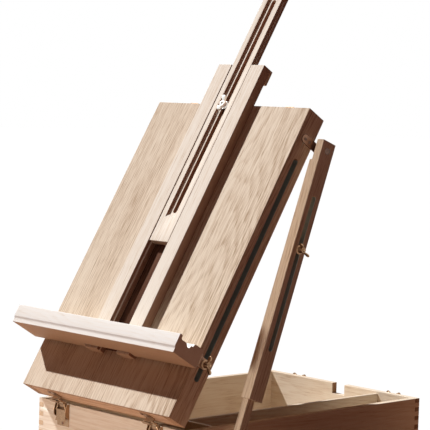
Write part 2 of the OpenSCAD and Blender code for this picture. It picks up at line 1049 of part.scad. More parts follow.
module ledge()
  color(pale_wood)
    lid_place()
      translate([0, 0, ledge_s])
        difference() {
          x_plate([-ledge_w / 2, ledge_w / 2])
            ledge_outline();
          lid_block(
            [-rail_out - cutout_side, rail_out + cutout_side],
            [-cut, ledge_h + cut],
            [lid_t, ledge_back + cutout_depth]
          );
          for (side = [-1, 1])
            on_side(side)
              translate([0, 0, -ledge_s])
                bracket_fasteners(true);
        }

// The screws of one bracket, from the side of the lid into the back of the ledge
module bracket_fasteners(hole)
  for (s = [-1, 1])
    translate([bracket_out + bracket_foot / 2, bracket_t - ledge_back, ledge_bolt_s + s * bracket_r / 2])
      rotate([-90, 0, 0])
        if (hole) screw_hole();
        else screw();

module ledge_bracket()
  difference() {
    union() {
      x_rod([bracket_in, bracket_out], -slot_n, ledge_bolt_s, bracket_r);
      lid_block(
        [bracket_in, bracket_out], [ledge_bolt_s - bracket_r, ledge_bolt_s + bracket_r], [slot_n, ledge_back]
      );
      lid_block(
        [bracket_in, bracket_out + bracket_foot],
        [ledge_bolt_s - bracket_r, ledge_bolt_s + bracket_r],
        [ledge_back - bracket_t, ledge_back]
      );
    }
    x_rod([bracket_in - cut, bracket_out + cut], -slot_n, ledge_bolt_s, bolt_r + bore_fit);
    bracket_fasteners(true);
  }

module ledge_bracket_left()
  color(dark_steel)
    lid_place()
      on_side(-1)
        ledge_bracket();

module ledge_bracket_right()
  color(dark_steel)
    lid_place()
      ledge_bracket();

module bracket_screws()
  color(nickel_tone)
    lid_place()
      for (side = [-1, 1])
        on_side(side)
          bracket_fasteners(false);

module ledge_bolts()
  color(dark_steel)
    lid_place()
      for (side = [-1, 1])
        on_side(side) {
          inside = lid_w / 2 - lid_frame - slide_fit;
          x_rod([inside - bolt_head_h, inside], -slot_n, ledge_bolt_s, bolt_head_r);
          x_rod([inside - cut, bracket_in], -slot_n, ledge_bolt_s, lid_slot_w / 2 - face_fit);
          x_rod([inside, bracket_out + nut_past], -slot_n, ledge_bolt_s, bolt_r);
        }

module ledge_nut()
  lid_place()
    translate([bracket_out + face_fit, -slot_n, ledge_bolt_s])
      rotate([0, 90, 0])
        rotate([0, 0, 30])
          wing_nut();

module ledge_wing_nut_left()
  color(brass_tone)
    on_side(-1)
      ledge_nut();

module ledge_wing_nut_right()
  color(brass_tone)
    ledge_nut();

// Straps that carry the arms on the lid's sides

module strap()
  difference() {
    union() {
      for (n = [-arm_pin_back, strap_front])
        x_rod([lid_w / 2, lid_w / 2 + strap_t], -n, arm_pin_s, strap_r);
      lid_block(
        [lid_w / 2, lid_w / 2 + strap_t],
        [arm_pin_s - strap_r, arm_pin_s + strap_r],
        [-arm_pin_back, strap_front]
      );
    }
    x_rod([lid_w / 2 - cut, lid_w / 2 + strap_t + cut], arm_pin_back, arm_pin_s, pin_r + bore_fit);
    strap_fasteners(true);
  }

module strap_fasteners(hole)
  for (n = [strap_front, lid_skin + strap_r])
    translate([lid_w / 2 + strap_t, -n, arm_pin_s])
      rotate([0, 90, 0])
        if (hole) screw_hole();
        else screw();

module strap_left()
  color(dark_steel)
    lid_place()
      on_side(-1)
        strap();

module strap_right()
  color(dark_steel)
    lid_place()
      strap();

module strap_screws()
  color(dark_steel)
    lid_place()
      for (side = [-1, 1])
        on_side(side)
          strap_fasteners(false);

module arm_pins()
  color(dark_steel)
    lid_place()
      for (side = [-1, 1])
        on_side(side) {
          head_in = upper_out - pin_sink + face_fit;
          x_rod([lid_w / 2, head_in + pin_head_h], arm_pin_back, arm_pin_s, pin_r);
          x_rod([lid_w / 2 + strap_t, upper_in + rebate_d - face_fit], arm_pin_back, arm_pin_s, collar_r);
          x_rod([head_in, head_in + pin_head_h], arm_pin_back, arm_pin_s, pin_head_r);
        }

// Arms, drawn down from their pins on the lid

module upper_arm()
  arm_place()
    difference() {
      block([upper_in, -upper_d / 2, -upper_reach], [upper_out, upper_d / 2, upper_head]);
      block([upper_in - cut, -upper_d, -rebate_len], [upper_in + rebate_d, upper_d, upper_head + cut]);
      block(
        [upper_in - cut, -lower_d / 2 - slide_fit, -upper_reach - cut],
        [lower_out + slide_fit, lower_d / 2 + slide_fit, -channel_top]
      );
      for (z = [arm_slot_top + arm_slot_w / 2, arm_slot_end - arm_slot_w / 2])
        x_rod([upper_in, upper_out + cut], 0, -z, arm_slot_w / 2);
      block(
        [upper_in, -arm_slot_w / 2, arm_slot_w / 2 - arm_slot_end],
        [upper_out + cut, arm_slot_w / 2, -arm_slot_w / 2 - arm_slot_top]
      );
      x_rod([upper_in, upper_out + cut], 0, 0, pin_r + bore_fit);
      x_rod([upper_out - pin_sink, upper_out + cut], 0, 0, pin_head_r + slide_fit);
    }

module upper_arm_left()
  color(board_wood)
    on_side(-1)
      upper_arm();

module upper_arm_right()
  color(board_wood)
    upper_arm();

module lower_arm()
  arm_place()
    difference() {
      union() {
        block([lower_in, -lower_d / 2, -arm_len], [lower_out, lower_d / 2, clamp_top - clamp_drop]);
        x_rod([lower_in, lower_out], 0, -arm_len, lower_d / 2);
      }
      x_rod([lower_in - cut, lower_out + cut], 0, -clamp_drop, bolt_r + bore_fit);
      x_rod([lower_in - cut, lower_in + clamp_sink], 0, -clamp_drop, clamp_head_r + slide_fit);
      x_rod([lower_in - cut, lower_out + cut], 0, -arm_len, pin_r + bore_fit);
      x_rod([lower_out - foot_sink, lower_out + cut], 0, -arm_len, foot_head_r + slide_fit);
    }

module lower_arm_left()
  color(board_wood)
    on_side(-1)
      lower_arm();

module lower_arm_right()
  color(board_wood)
    lower_arm();

module clamp_bolt()
  arm_place() {
    head_in = lower_in + clamp_sink - clamp_head_h;
    x_rod([head_in, head_in + clamp_head_h], 0, -clamp_drop, clamp_head_r);
    x_rod([head_in, upper_out + nut_past], 0, -clamp_drop, bolt_r);
    x_rod([lower_out, upper_out - face_fit], 0, -clamp_drop, arm_slot_w / 2 - face_fit);
  }

module clamp_bolt_left()
  color(dark_steel)
    on_side(-1)
      clamp_bolt();

module clamp_bolt_right()
  color(dark_steel)
    clamp_bolt();

module arm_nut()
  arm_place()
    translate([upper_out + face_fit, 0, -clamp_drop])
      rotate([0, 90, 0])
        rotate([0, 0, 60])
          wing_nut();

module arm_wing_nut_left()
  color(brass_tone)
    on_side(-1)
      arm_nut();

module arm_wing_nut_right()
  color(brass_tone)
    arm_nut();

// The pin at the foot of an arm, with a washer against the box
module foot_pin()
  arm_place() {
    face = box_w / 2 + slide_fit;
    head_in = lower_out - foot_sink + face_fit;
    x_rod([face, lower_in - face_fit], 0, -arm_len, washer_r);
    x_rod([face, head_in + foot_head_h], 0, -arm_len, pin_r);
    x_rod([head_in, head_in + foot_head_h], 0, -arm_len, foot_head_r);
  }

module foot_pin_left()
  color(dark_steel)
    on_side(-1)
      foot_pin();

module foot_pin_right()
  color(dark_steel)
    foot_pin();

box_front();
box_back();
box_left();
box_right();
box_floor();
divider_long();
divider_cross();
hinge_plates();
hinge_screws();
hinge_bails();
catch_plates();
catch_screws();
catch_pins();
catch_lever_left();
catch_lever_right();
catch_bail_left();
catch_bail_right();
handle_brackets();
handle_screws();
handle_wire();
handle_grip();
lid_front_skin();
lid_back_skin();
lid_side_left();
lid_side_right();
lid_top_rail();
lid_bottom_rail();
keepers();
keeper_screws();
rail_left();
rail_right();
rail_bridge();
bridge_screws();
mast();
mast_bolt();
mast_wing_nut();
ledge();
ledge_bracket_left();
ledge_bracket_right();
bracket_screws();
ledge_bolts();
ledge_wing_nut_left();
ledge_wing_nut_right();
strap_left();
strap_right();
strap_screws();
arm_pins();
upper_arm_left();
upper_arm_right();
lower_arm_left();
lower_arm_right();
clamp_bolt_left();
clamp_bolt_right();
arm_wing_nut_left();
arm_wing_nut_right();
foot_pin_left();
foot_pin_right();
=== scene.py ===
import json
import math

import bmesh
import bpy
import numpy as np
from mathutils import Matrix, Vector

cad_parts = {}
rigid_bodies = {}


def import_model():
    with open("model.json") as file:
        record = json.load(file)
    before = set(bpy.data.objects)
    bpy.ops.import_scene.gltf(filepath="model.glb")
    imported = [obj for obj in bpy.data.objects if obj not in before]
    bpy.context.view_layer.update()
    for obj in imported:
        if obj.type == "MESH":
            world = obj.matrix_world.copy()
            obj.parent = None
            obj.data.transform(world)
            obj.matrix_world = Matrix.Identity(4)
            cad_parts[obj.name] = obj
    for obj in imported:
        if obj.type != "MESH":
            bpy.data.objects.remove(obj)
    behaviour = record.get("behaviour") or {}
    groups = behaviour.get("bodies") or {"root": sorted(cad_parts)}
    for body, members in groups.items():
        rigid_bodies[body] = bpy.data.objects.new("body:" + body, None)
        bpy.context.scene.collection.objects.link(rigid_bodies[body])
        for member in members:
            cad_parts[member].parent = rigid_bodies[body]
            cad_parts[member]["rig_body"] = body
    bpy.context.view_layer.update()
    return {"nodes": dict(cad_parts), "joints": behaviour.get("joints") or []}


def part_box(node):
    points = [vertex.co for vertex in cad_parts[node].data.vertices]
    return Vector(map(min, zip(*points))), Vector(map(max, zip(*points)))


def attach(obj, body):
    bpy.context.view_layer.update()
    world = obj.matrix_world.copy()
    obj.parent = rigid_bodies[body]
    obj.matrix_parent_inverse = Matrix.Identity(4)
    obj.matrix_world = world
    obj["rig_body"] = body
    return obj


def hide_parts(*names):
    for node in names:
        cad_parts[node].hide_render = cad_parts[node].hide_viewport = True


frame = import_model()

mm = 0.001
print("frame loaded:", len(frame["nodes"]), "nodes")

# The easel's own directions, read from its joints: the lid's and the arms' lean, and the lid's foot

joints = {joint["name"]: joint for joint in frame["joints"]}
lidAxis = Vector(joints["lid_tilt"]["pos_m"])
lidUp = Vector(joints["ledge_slide"]["axis"])
lidOut = Vector(joints["mast_nut_turn"]["axis"])
armDown = Vector(joints["arm_slide_right"]["axis"])
lidLean = math.atan2(lidUp.y, lidUp.z)
armLean = math.atan2(-armDown.y, -armDown.z)

# Camera, at the photograph's view

cameraSet = dict(
    eye=(2.2523, -2.1838, 0.6539),
    yaw=46.669,
    pitch=-3.950,
    roll=1.877,
    focalPixels=1774.4,
    imagePixels=430,
    sensor=36.0,
    reach=50.0,
)


def makeCamera():
    # the view turns by yaw about Z, then dips by pitch, then rolls about its own line of sight
    yaw, pitch, roll = (math.radians(cameraSet[key]) for key in ("yaw", "pitch", "roll"))
    forward = Vector((-math.sin(yaw) * math.cos(pitch), math.cos(yaw) * math.cos(pitch), math.sin(pitch)))
    level = Vector((math.cos(yaw), math.sin(yaw), 0))
    above = level.cross(forward)
    right = math.cos(roll) * level + math.sin(roll) * above
    upward = -math.sin(roll) * level + math.cos(roll) * above
    data = bpy.data.cameras.new("photoCamera")
    data.sensor_width = cameraSet["sensor"]
    data.lens = cameraSet["focalPixels"] / cameraSet["imagePixels"] * cameraSet["sensor"]
    data.clip_end = cameraSet["reach"]
    camera = bpy.data.objects.new("photoCamera", data)
    bpy.context.scene.collection.objects.link(camera)
    turn = Matrix((right, upward, -forward)).transposed().to_4x4()
    camera.matrix_world = Matrix.Translation(Vector(cameraSet["eye"])) @ turn
    bpy.context.scene.camera = camera


makeCamera()

# Helpers for shader nodes


def fill(tree, node, inputs):
    # each input takes a link from a socket, three numbers as a colour, or a value of its own kind
    for key, value in inputs.items():
        socket = node.inputs[key]
        if isinstance(value, bpy.types.NodeSocket):
            tree.links.new(value, socket)
        elif socket.type == "RGBA":
            socket.default_value = (*value, 1)
        else:
            socket.default_value = value
    return node


def addNode(tree, kind, inputs):
    return fill(tree, tree.nodes.new("ShaderNode" + kind), inputs)


def mathNode(tree, operation, *values):
    node = tree.nodes.new("ShaderNodeMath")
    node.operation = operation
    return fill(tree, node, dict(enumerate(values))).outputs[0]


def mapRange(tree, value, low, high, newLow=0.0, newHigh=1.0):
    inputs = {"Value": value, "From Min": low, "From Max": high, "To Min": newLow, "To Max": newHigh}
    return addNode(tree, "MapRange", inputs).outputs[0]


def mixColours(tree, share, first, second, blend="MIX"):
    node = tree.nodes.new("ShaderNodeMix")
    node.data_type, node.blend_type = "RGBA", blend
    return fill(tree, node, {"Factor": share, "A": first, "B": second}).outputs["Result"]


def mixShaders(tree, share, first, second):
    return addNode(tree, "MixShader", {"Fac": share, 1: first.outputs[0], 2: second.outputs[0]})


def addNoise(tree, vector, scale, detail, roughness=0.5):
    inputs = {"Vector": vector, "Scale": scale, "Detail": detail, "Roughness": roughness}
    return addNode(tree, "TexNoise", inputs).outputs["Fac"]


def addRamp(tree, value, stops):
    # a colour ramp through the stops, each a place and three numbers
    node = addNode(tree, "ValToRGB", {"Fac": value})
    elements = node.color_ramp.elements
    for element, (place, colour) in zip(elements, (stops[0], stops[-1])):
        element.position, element.color = place, (*colour, 1)
    for place, colour in stops[1:-1]:
        elements.new(place).color = (*colour, 1)
    return node.outputs["Color"]


def seenDirectly(tree):
    # 1 for camera, glossy and transmission rays, and 0 for the light that falls on things
    path = addNode(tree, "LightPath", {})
    first = mathNode(tree, "MAXIMUM", path.outputs["Is Camera Ray"], path.outputs["Is Glossy Ray"])
    return mathNode(tree, "MAXIMUM", first, path.outputs["Is Transmission Ray"])


def newMaterial(name):
    material = bpy.data.materials.new(name)
    material.use_nodes = True
    return material, material.node_tree


# Light, floor and world

lightSet = dict(
    sunWay=(0.585, 0.258, -0.768),
    sunStrength=4.4,
    sunAngle=1.2,
    fillWay=(0.0, 1.0, -0.03),
    fillStrength=1.7,
    fillAngle=8.0,
    fillColour=(1.0, 0.88, 0.76),
    fillNodes=("upper_arm", "lower_arm", "hinge_", "foot_pin", "box_front", "box_left"),
    worldStrength=0.075,
    worldColour=(1.0, 0.50, 0.38),
    floorSize=40.0,
    floorSeen=(0.98, 0.98, 0.98),
    bounceNear=(0.66, 0.38, 0.24),
    bounceFar=(0.13, 0.045, 0.028),
    bounceEdgeX=(0.25, 0.55),
    bounceEdgeY=(-0.70, -0.42),
    floorShare=0.15,
)


def addSun(name, way, strength, angle, colour=(1, 1, 1), onto=None):
    # a sun lamp; given a collection, it lights only what is in it
    sun = bpy.data.lights.new(name, "SUN")
    sun.energy = strength
    sun.angle = math.radians(angle)
    sun.color = colour
    lamp = bpy.data.objects.new(name, sun)
    bpy.context.scene.collection.objects.link(lamp)
    lamp.rotation_euler = Vector(way).to_track_quat("-Z", "Y").to_euler()
    lamp.light_linking.receiver_collection = onto


def makeLight():
    # the sun, and a world that looks white but lights things with its own weak warm colour
    addSun("keyLight", lightSet["sunWay"], lightSet["sunStrength"], lightSet["sunAngle"])
    world = bpy.data.worlds.new("studio")
    bpy.context.scene.world = world
    world.use_nodes = True
    tree = world.node_tree
    tree.nodes.clear()
    weak = {"Color": lightSet["worldColour"], "Strength": lightSet["worldStrength"]}
    soft = addNode(tree, "Background", weak)
    white = addNode(tree, "Background", {"Color": (1, 1, 1)})
    mixed = mixShaders(tree, seenDirectly(tree), soft, white)
    addNode(tree, "OutputWorld", {"Surface": mixed.outputs[0]})


def makeFloor():
    # seen, the floor is near white; the light it throws back is warm in front of the easel and dark elsewhere
    half = lightSet["floorSize"] / 2
    corners = [(-half, -half, 0), (half, -half, 0), (half, half, 0), (-half, half, 0)]
    mesh = bpy.data.meshes.new("floor")
    mesh.from_pydata(corners, [], [(0, 1, 2, 3)])
    floor = bpy.data.objects.new("floor", mesh)
    bpy.context.scene.collection.objects.link(floor)
    material, tree = newMaterial("paleFloor")
    tree.nodes.clear()
    paint = addNode(tree, "BsdfDiffuse", {"Color": lightSet["floorSeen"]})
    seen = mixShaders(tree, lightSet["floorShare"], addNode(tree, "Emission", {}), paint)
    where = addNode(tree, "TexCoord", {})
    parts = addNode(tree, "SeparateXYZ", {0: where.outputs["Object"]})
    farY, nearY = lightSet["bounceEdgeY"]
    away = mathNode(
        tree, "MAXIMUM",
        mapRange(tree, parts.outputs["X"], *lightSet["bounceEdgeX"]),
        mapRange(tree, parts.outputs["Y"], nearY, farY),
    )
    tint = mixColours(tree, away, lightSet["bounceNear"], lightSet["bounceFar"])
    thrown = addNode(tree, "BsdfDiffuse", {"Color": tint})
    mixed = mixShaders(tree, seenDirectly(tree), thrown, seen)
    addNode(tree, "OutputMaterial", {"Surface": mixed.outputs[0]})
    mesh.materials.append(material)


makeLight()
makeFloor()
bpy.context.scene.view_settings.view_transform = "Standard"
print("camera, light and floor made")

# Materials

oakColours = dict(light=(0.79, 0.67, 0.53), middle=(0.67, 0.535, 0.40), dark=(0.40, 0.27, 0.17))
# paler than the lid's oak: painted light for the arms' fronts
armLitColours = dict(light=(0.88, 0.77, 0.63), middle=(0.78, 0.65, 0.505), dark=(0.48, 0.34, 0.23))
paleColours = dict(light=(0.87, 0.79, 0.69), middle=(0.79, 0.68, 0.56), dark=(0.55, 0.41, 0.29))
ledgeColours = dict(light=(0.97, 0.95, 0.91), middle=(0.94, 0.89, 0.82), dark=(0.72, 0.60, 0.48))
# near-black brown for the strip between the rails: painted shade
shadeSheetColours = dict(light=(0.17, 0.08, 0.05), middle=(0.10, 0.045, 0.03), dark=(0.05, 0.025, 0.02))
boxColours = dict(light=(0.86, 0.76, 0.62), middle=(0.77, 0.64, 0.49), dark=(0.54, 0.39, 0.26))
# darker than the other boards' wood: painted shade for the left wall, whose inside lies in the lid's shade
leftShadeColours = dict(light=(0.76, 0.65, 0.52), middle=(0.68, 0.545, 0.41), dark=(0.48, 0.34, 0.23))
frontColours = dict(light=(0.82, 0.78, 0.70), middle=(0.73, 0.665, 0.565), dark=(0.52, 0.42, 0.31))

upright = (0, 0, 0)
alongLid = (lidLean, 0, 0)
alongArm = (armLean, 0, 0)
grainTurns = dict(X=(0, math.radians(90), 0), Y=(math.radians(90), 0, 0), Z=upright)

# each noise: scale, detail, roughness, and its scale along the grain as a share of the first
woodSet = dict(
    slow=(5, 1, 0.5, 0.9),
    ripple=(55, 2, 0.5, 0.12),
    strength=(24, 2, 0.6, 0.1),
    broad=(18, 2, 0.5, 0.05),
    strand=(360, 2, 0.6, 0.022),
    fibre=(640, 2, 0.6, 0.06),
    streak=(1100, 2, 0.5, 0.03),
    noiseSpan=(0.3, 0.7),
    rippleShare=0.45,
    ringStops=((0.0, 0.10), (0.16, 0.90), (0.34, 0.80), (0.60, 0.30), (0.85, 0.10), (1.0, 0.10)),
    ringStrength=(0.35, 1.0),
    broadTone=(-0.45, 0.55),
    strandTone=(-0.42, 0.5),
    fibreTone=(-0.36, 0.46),
    poreSpan=(0.58, 0.70),
    poreInRing=(0.1, 0.7, 0.15, 1),
    middleAt=0.42,
    tintFrom=(0.6, 0.85),
    roughTone=(-0.05, 0.12),
    poreHeight=-0.8,
    fibreHeight=0.35,
    reliefDepth=0.5 * mm,
)
# painted shade in the long slots of the lid's sides and of the arms: how far from a slot's middle, how square to
# its walls a face must be, and the colour put in place of the wood
slotShadeSet = dict(lidOut=18.9, reach=6 * mm, facing=0.5, colour=(0.42, 0.60, 0.62))


def levelled(point, lean):
    # how far back a place is once its part stands upright
    return point[1] * math.cos(lean) - point[2] * math.sin(lean)


# the middles of the lid's and the arms' slots, levelled; their walls get painted shade
lidShadedSlotAt = levelled(lidAxis + lidOut * slotShadeSet["lidOut"] * mm, lidLean)
armShadedSlotAt = levelled(Vector(joints["arm_fold_right"]["pos_m"]), armLean)


def makeWood(name, colours, turn, grain="Z", pith=(0.03, 0.07), slope=(0.0, 0.12), ring=0.0036, wander=0.004,
             figure=0.34, broadShare=0.40, fibres=0.8, pores=0.6, rough=0.58, bump=0.25, gloss=0.1,
             endTint=(0.72, 0.62, 0.52), sideShadeTint=(1, 1, 1), undersideShadeTint=(1, 1, 1), shadedSlotAt=None):
    # solid wood: a ring's radius is the distance from a pith line that leans and wanders along the grain;
    # each ring is a dark early band that fades into pale late wood, and pores are short streaks in the early
    # wood that follow the grain; turn and grain bring the piece's long direction to Z; endTint darkens faces
    # cut across the grain; the side tint paints shade on faces that look left and right, the foot tint paints
    # shade on faces that look down, and a slot's place, if given, gets painted shade on the slot's walls
    material, tree = newMaterial(name)

    def maths(operation, *values):
        return mathNode(tree, operation, *values)

    def spread(noise, low, high):
        return mapRange(tree, noise, *woodSet["noiseSpan"], low, high)

    def turned(vector, angles):
        return addNode(tree, "Mapping", {"Vector": vector, "Rotation": angles}).outputs[0]

    def split(vector, axis):
        return addNode(tree, "SeparateXYZ", {0: vector}).outputs[axis]

    where = addNode(tree, "TexCoord", {})
    level = turned(where.outputs["Object"], turn)
    placed = turned(level, grainTurns[grain])

    def drawnOut(key):
        # noise drawn out along the grain
        scale, detail, roughness, along = woodSet[key]
        fit = addNode(tree, "Mapping", {"Vector": placed, "Scale": (scale, scale, scale * along)})
        return addNoise(tree, fit.outputs[0], 1, detail, roughness)

    # rings: how far a place is from the pith line, in ring widths, and how far into its ring
    offsets = []
    for axis, start, lean in (("X", pith[0], slope[0]), ("Y", pith[1], slope[1])):
        line = maths("MULTIPLY_ADD", split(placed, "Z"), lean, start)
        offsets.append(maths("SUBTRACT", split(placed, axis), line))
    depth = maths("ADD", offsets[1], spread(drawnOut("slow"), -wander, wander))
    squares = maths("ADD", maths("MULTIPLY", offsets[0], offsets[0]), maths("MULTIPLY", depth, depth))
    ripple = ring * woodSet["rippleShare"]
    radius = maths("ADD", maths("SQRT", squares), spread(drawnOut("ripple"), -ripple, ripple))
    share = maths("FRACT", maths("DIVIDE", radius, ring))
    band = addRamp(tree, share, [(place, (value, value, value)) for place, value in woodSet["ringStops"]])
    ringTone = maths("MULTIPLY", band, spread(drawnOut("strength"), *woodSet["ringStrength"]))

    # tone: rings, broad shades, strands and fibres added up, from light at 0 to dark at 1
    fibre = drawnOut("fibre")
    streaks = mapRange(tree, drawnOut("streak"), *woodSet["poreSpan"])
    poreTone = maths("MULTIPLY", streaks, mapRange(tree, ringTone, *woodSet["poreInRing"]))
    tone = maths("MULTIPLY", ringTone, figure)
    for noise, amount, key in (
        (drawnOut("broad"), broadShare, "broadTone"), (drawnOut("strand"), fibres, "strandTone"),
        (fibre, fibres, "fibreTone"),
    ):
        low, high = woodSet[key]
        tone = maths("ADD", tone, spread(noise, low * amount, high * amount))
    tone = maths("ADD", tone, maths("MULTIPLY", poreTone, pores))
    tinted = addRamp(
        tree, tone, [(0.0, colours["light"]), (woodSet["middleAt"], colours["middle"]), (1.0, colours["dark"])]
    )

    # tints by the way a face looks, as it lies, levelled, and turned with its grain: end grain darkened, and
    # painted shade on faces that look left and right and on faces that look down
    facing = where.outputs["Normal"]
    levelFacing = turned(facing, turn)
    ends = maths("ABSOLUTE", split(turned(levelFacing, grainTurns[grain]), "Z"))
    sides = maths("ABSOLUTE", split(facing, "X"))
    foot = maths("MULTIPLY", split(levelFacing, "Z"), -1)
    for amount, tint in ((ends, endTint), (sides, sideShadeTint), (foot, undersideShadeTint)):
        tinted = mixColours(tree, mapRange(tree, amount, *woodSet["tintFrom"]), tinted, tint, "MULTIPLY")
    if shadedSlotAt is not None:
        # painted shade: the walls of a long slot take a cold grey-green in place of the wood, which renders near
        # black in the warm shade light, standing in for the deep shade inside the slot; they face front or back
        # and lie near the slot's middle
        fromMiddle = maths("ABSOLUTE", maths("SUBTRACT", split(level, "Y"), shadedSlotAt))
        near = maths("LESS_THAN", fromMiddle, slotShadeSet["reach"])
        across = maths("GREATER_THAN", maths("ABSOLUTE", split(levelFacing, "Y")), slotShadeSet["facing"])
        tinted = mixColours(tree, maths("MULTIPLY", near, across), tinted, slotShadeSet["colour"])

    pitted = maths("MULTIPLY", poreTone, woodSet["poreHeight"])
    height = maths("ADD", pitted, maths("MULTIPLY", fibre, woodSet["fibreHeight"]))
    relief = addNode(tree, "Bump", {"Strength": bump, "Distance": woodSet["reliefDepth"], "Height": height})
    smooth, dull = (rough + part for part in woodSet["roughTone"])
    fill(tree, tree.nodes["Principled BSDF"], {
        "Base Color": tinted,
        "Roughness": mapRange(tree, tone, 0, 1, smooth, dull),
        "Specular IOR Level": gloss,
        "Normal": relief.outputs[0],
    })
    return material


metalSet = dict(
    stainScale=140.0, stainDetail=4, stainSpan=(0.35, 0.75), stainShare=0.45,
    wearScale=1260.0, wearDetail=3, wearGloss=(-0.08, 0.16), relief=0.15, reliefDepth=0.2 * mm,
)


def makeMetal(name, colour, stain, rough):
    # plated metal: a clear tone with slow stains and fine wear in its gloss
    material, tree = newMaterial(name)
    m = metalSet
    place = addNode(tree, "TexCoord", {}).outputs["Object"]
    slow = addNoise(tree, place, m["stainScale"], m["stainDetail"])
    fine = addNoise(tree, place, m["wearScale"], m["wearDetail"])
    stained = mapRange(tree, slow, *m["stainSpan"], 0, m["stainShare"])
    relief = addNode(tree, "Bump", {"Strength": m["relief"], "Distance": m["reliefDepth"], "Height": fine})
    fill(tree, tree.nodes["Principled BSDF"], {
        "Metallic": 1.0,
        "Base Color": mixColours(tree, stained, colour, stain),
        "Roughness": mapRange(tree, fine, 0, 1, rough + m["wearGloss"][0], rough + m["wearGloss"][1]),
        "Normal": relief.outputs[0],
    })
    return material


# what several boards share
oak = dict(colours=oakColours, turn=alongLid)
pale = dict(colours=paleColours, turn=alongLid, figure=0.3)
# rails and mast: their faces that look left and right painted with deep shade
slider = dict(pale, fibres=0.5, sideShadeTint=(0.42, 0.27, 0.21))
boxWood = dict(colours=boxColours, turn=upright)
longBoard = dict(boxWood, grain="X", pith=(0.05, -0.40), slope=(0.05, 0.03), fibres=0.4, gloss=0)
deepBoard = dict(boxWood, grain="Y", pith=(0.30, -0.05), slope=(0.03, 0.03), fibres=0.4, gloss=0)

woods = dict(
    lidFace=dict(oak, pith=(0.125, -0.21), slope=(0.01, 0.045), figure=0.5),
    lidBack=dict(oak, pith=(-0.05, -0.44), slope=(0.02, -0.10)),
    lidSides=dict(oak, pith=(0.32, -0.30), shadedSlotAt=lidShadedSlotAt),
    lidEnds=dict(oak, grain="X", pith=(0.30, -0.42)),
    rails=dict(slider, pith=(0.13, -0.44)),
    mast=dict(slider, pith=(0.16, -0.25), broadShare=0.3),
    # the ledge: its faces that look down painted with shade
    ledge=dict(colours=ledgeColours, turn=alongLid, grain="X", pith=(0.12, -0.28), slope=(0.08, 0.03),
               fibres=0.3, broadShare=0.2, pores=0.3, endTint=(0.8, 0.72, 0.64), undersideShadeTint=(0.68, 0.55, 0.42)),
    bridge=dict(pale, grain="X", pith=(0.42, -0.42)),
    # arms: paler wood as painted light on their fronts, painted shade on their sides and on their slots' walls
    arms=dict(colours=armLitColours, turn=alongArm, pith=(0.12, -0.12), sideShadeTint=(0.80, 0.76, 0.73),
              shadedSlotAt=armShadedSlotAt),
    # painted shade: the dark strip between the rails
    shadeSheet=dict(colours=shadeSheetColours, turn=alongLid, pith=(0.2, -0.3), rough=0.7),
    # end grain darker than on other boards: real end grain, deepened with painted shade for the cheeks of the
    # notch
    boxBack=dict(longBoard, endTint=(0.46, 0.35, 0.28)),
    boxFront=dict(longBoard, colours=frontColours),
    # painted shade: the left board darker than the others, its finger ends darkened less than other end grain
    boxLeft=dict(deepBoard, colours=leftShadeColours, endTint=(0.9, 0.86, 0.80)),
    boxRight=deepBoard,
    boxFloor=dict(boxWood, grain="Y", pith=(0.02, 0.20), fibres=0.4),
    dividers=dict(boxWood, grain="Y", pith=(0.30, 0.02), fibres=0.4),
    grip=dict(boxWood, grain="X", pith=(-0.03, 0.27), ring=0.0025),
)
metals = dict(
    brassed=((0.42, 0.25, 0.14), (0.13, 0.065, 0.04), 0.26),
    darkSteel=((0.24, 0.125, 0.075), (0.08, 0.04, 0.03), 0.30),
    # pins and strap screws that sit in shade: a dark brown close to the shaded wood round them, painted shade
    shadeBrownMetal=((0.15, 0.085, 0.06), (0.06, 0.035, 0.03), 0.5),
    nickel=((0.94, 0.92, 0.88), (0.74, 0.68, 0.60), 0.34),
)
materials = {name: makeWood(name, **look) for name, look in woods.items()}
materials.update({name: makeMetal(name, *look) for name, look in metals.items()})
print("materials made:", len(materials))

# Wooden parts and metal plates: each is the CAD part's own shape with its sharp edges eased, as a plane and
# sandpaper leave wood and as stamping leaves metal

woodParts = dict(
    lidFace=("lid_front_skin",),
    lidBack=("lid_back_skin",),
    lidSides=("lid_side_left", "lid_side_right"),
    lidEnds=("lid_top_rail", "lid_bottom_rail"),
    rails=("rail_left", "rail_right"),
    bridge=("rail_bridge",),
    arms=("upper_arm_left", "upper_arm_right", "lower_arm_left", "lower_arm_right"),
    boxFront=("box_front",),
    boxBack=("box_back",),
    boxLeft=("box_left",),
    boxRight=("box_right",),
    boxFloor=("box_floor",),
    dividers=("divider_long", "divider_cross"),
)
plateParts = dict(
    brassed=("hinge_plates", "catch_plates", "catch_lever_left", "catch_lever_right", "keepers"),
    darkSteel=("strap_left", "strap_right", "ledge_bracket_left", "ledge_bracket_right", "handle_brackets"),
)
easeSet = dict(wood=0.7 * mm, plate=0.22 * mm, segments=3, angle=35.0, weld=0.001 * mm, flat=0.6, sharp=30.0)


def smoothed(mesh, sharp):
    # smooth shading, broken along edges sharper than this angle
    mesh.polygons.foreach_set("use_smooth", np.ones(len(mesh.polygons), bool))
    mesh.set_sharp_from_angle(angle=math.radians(sharp))


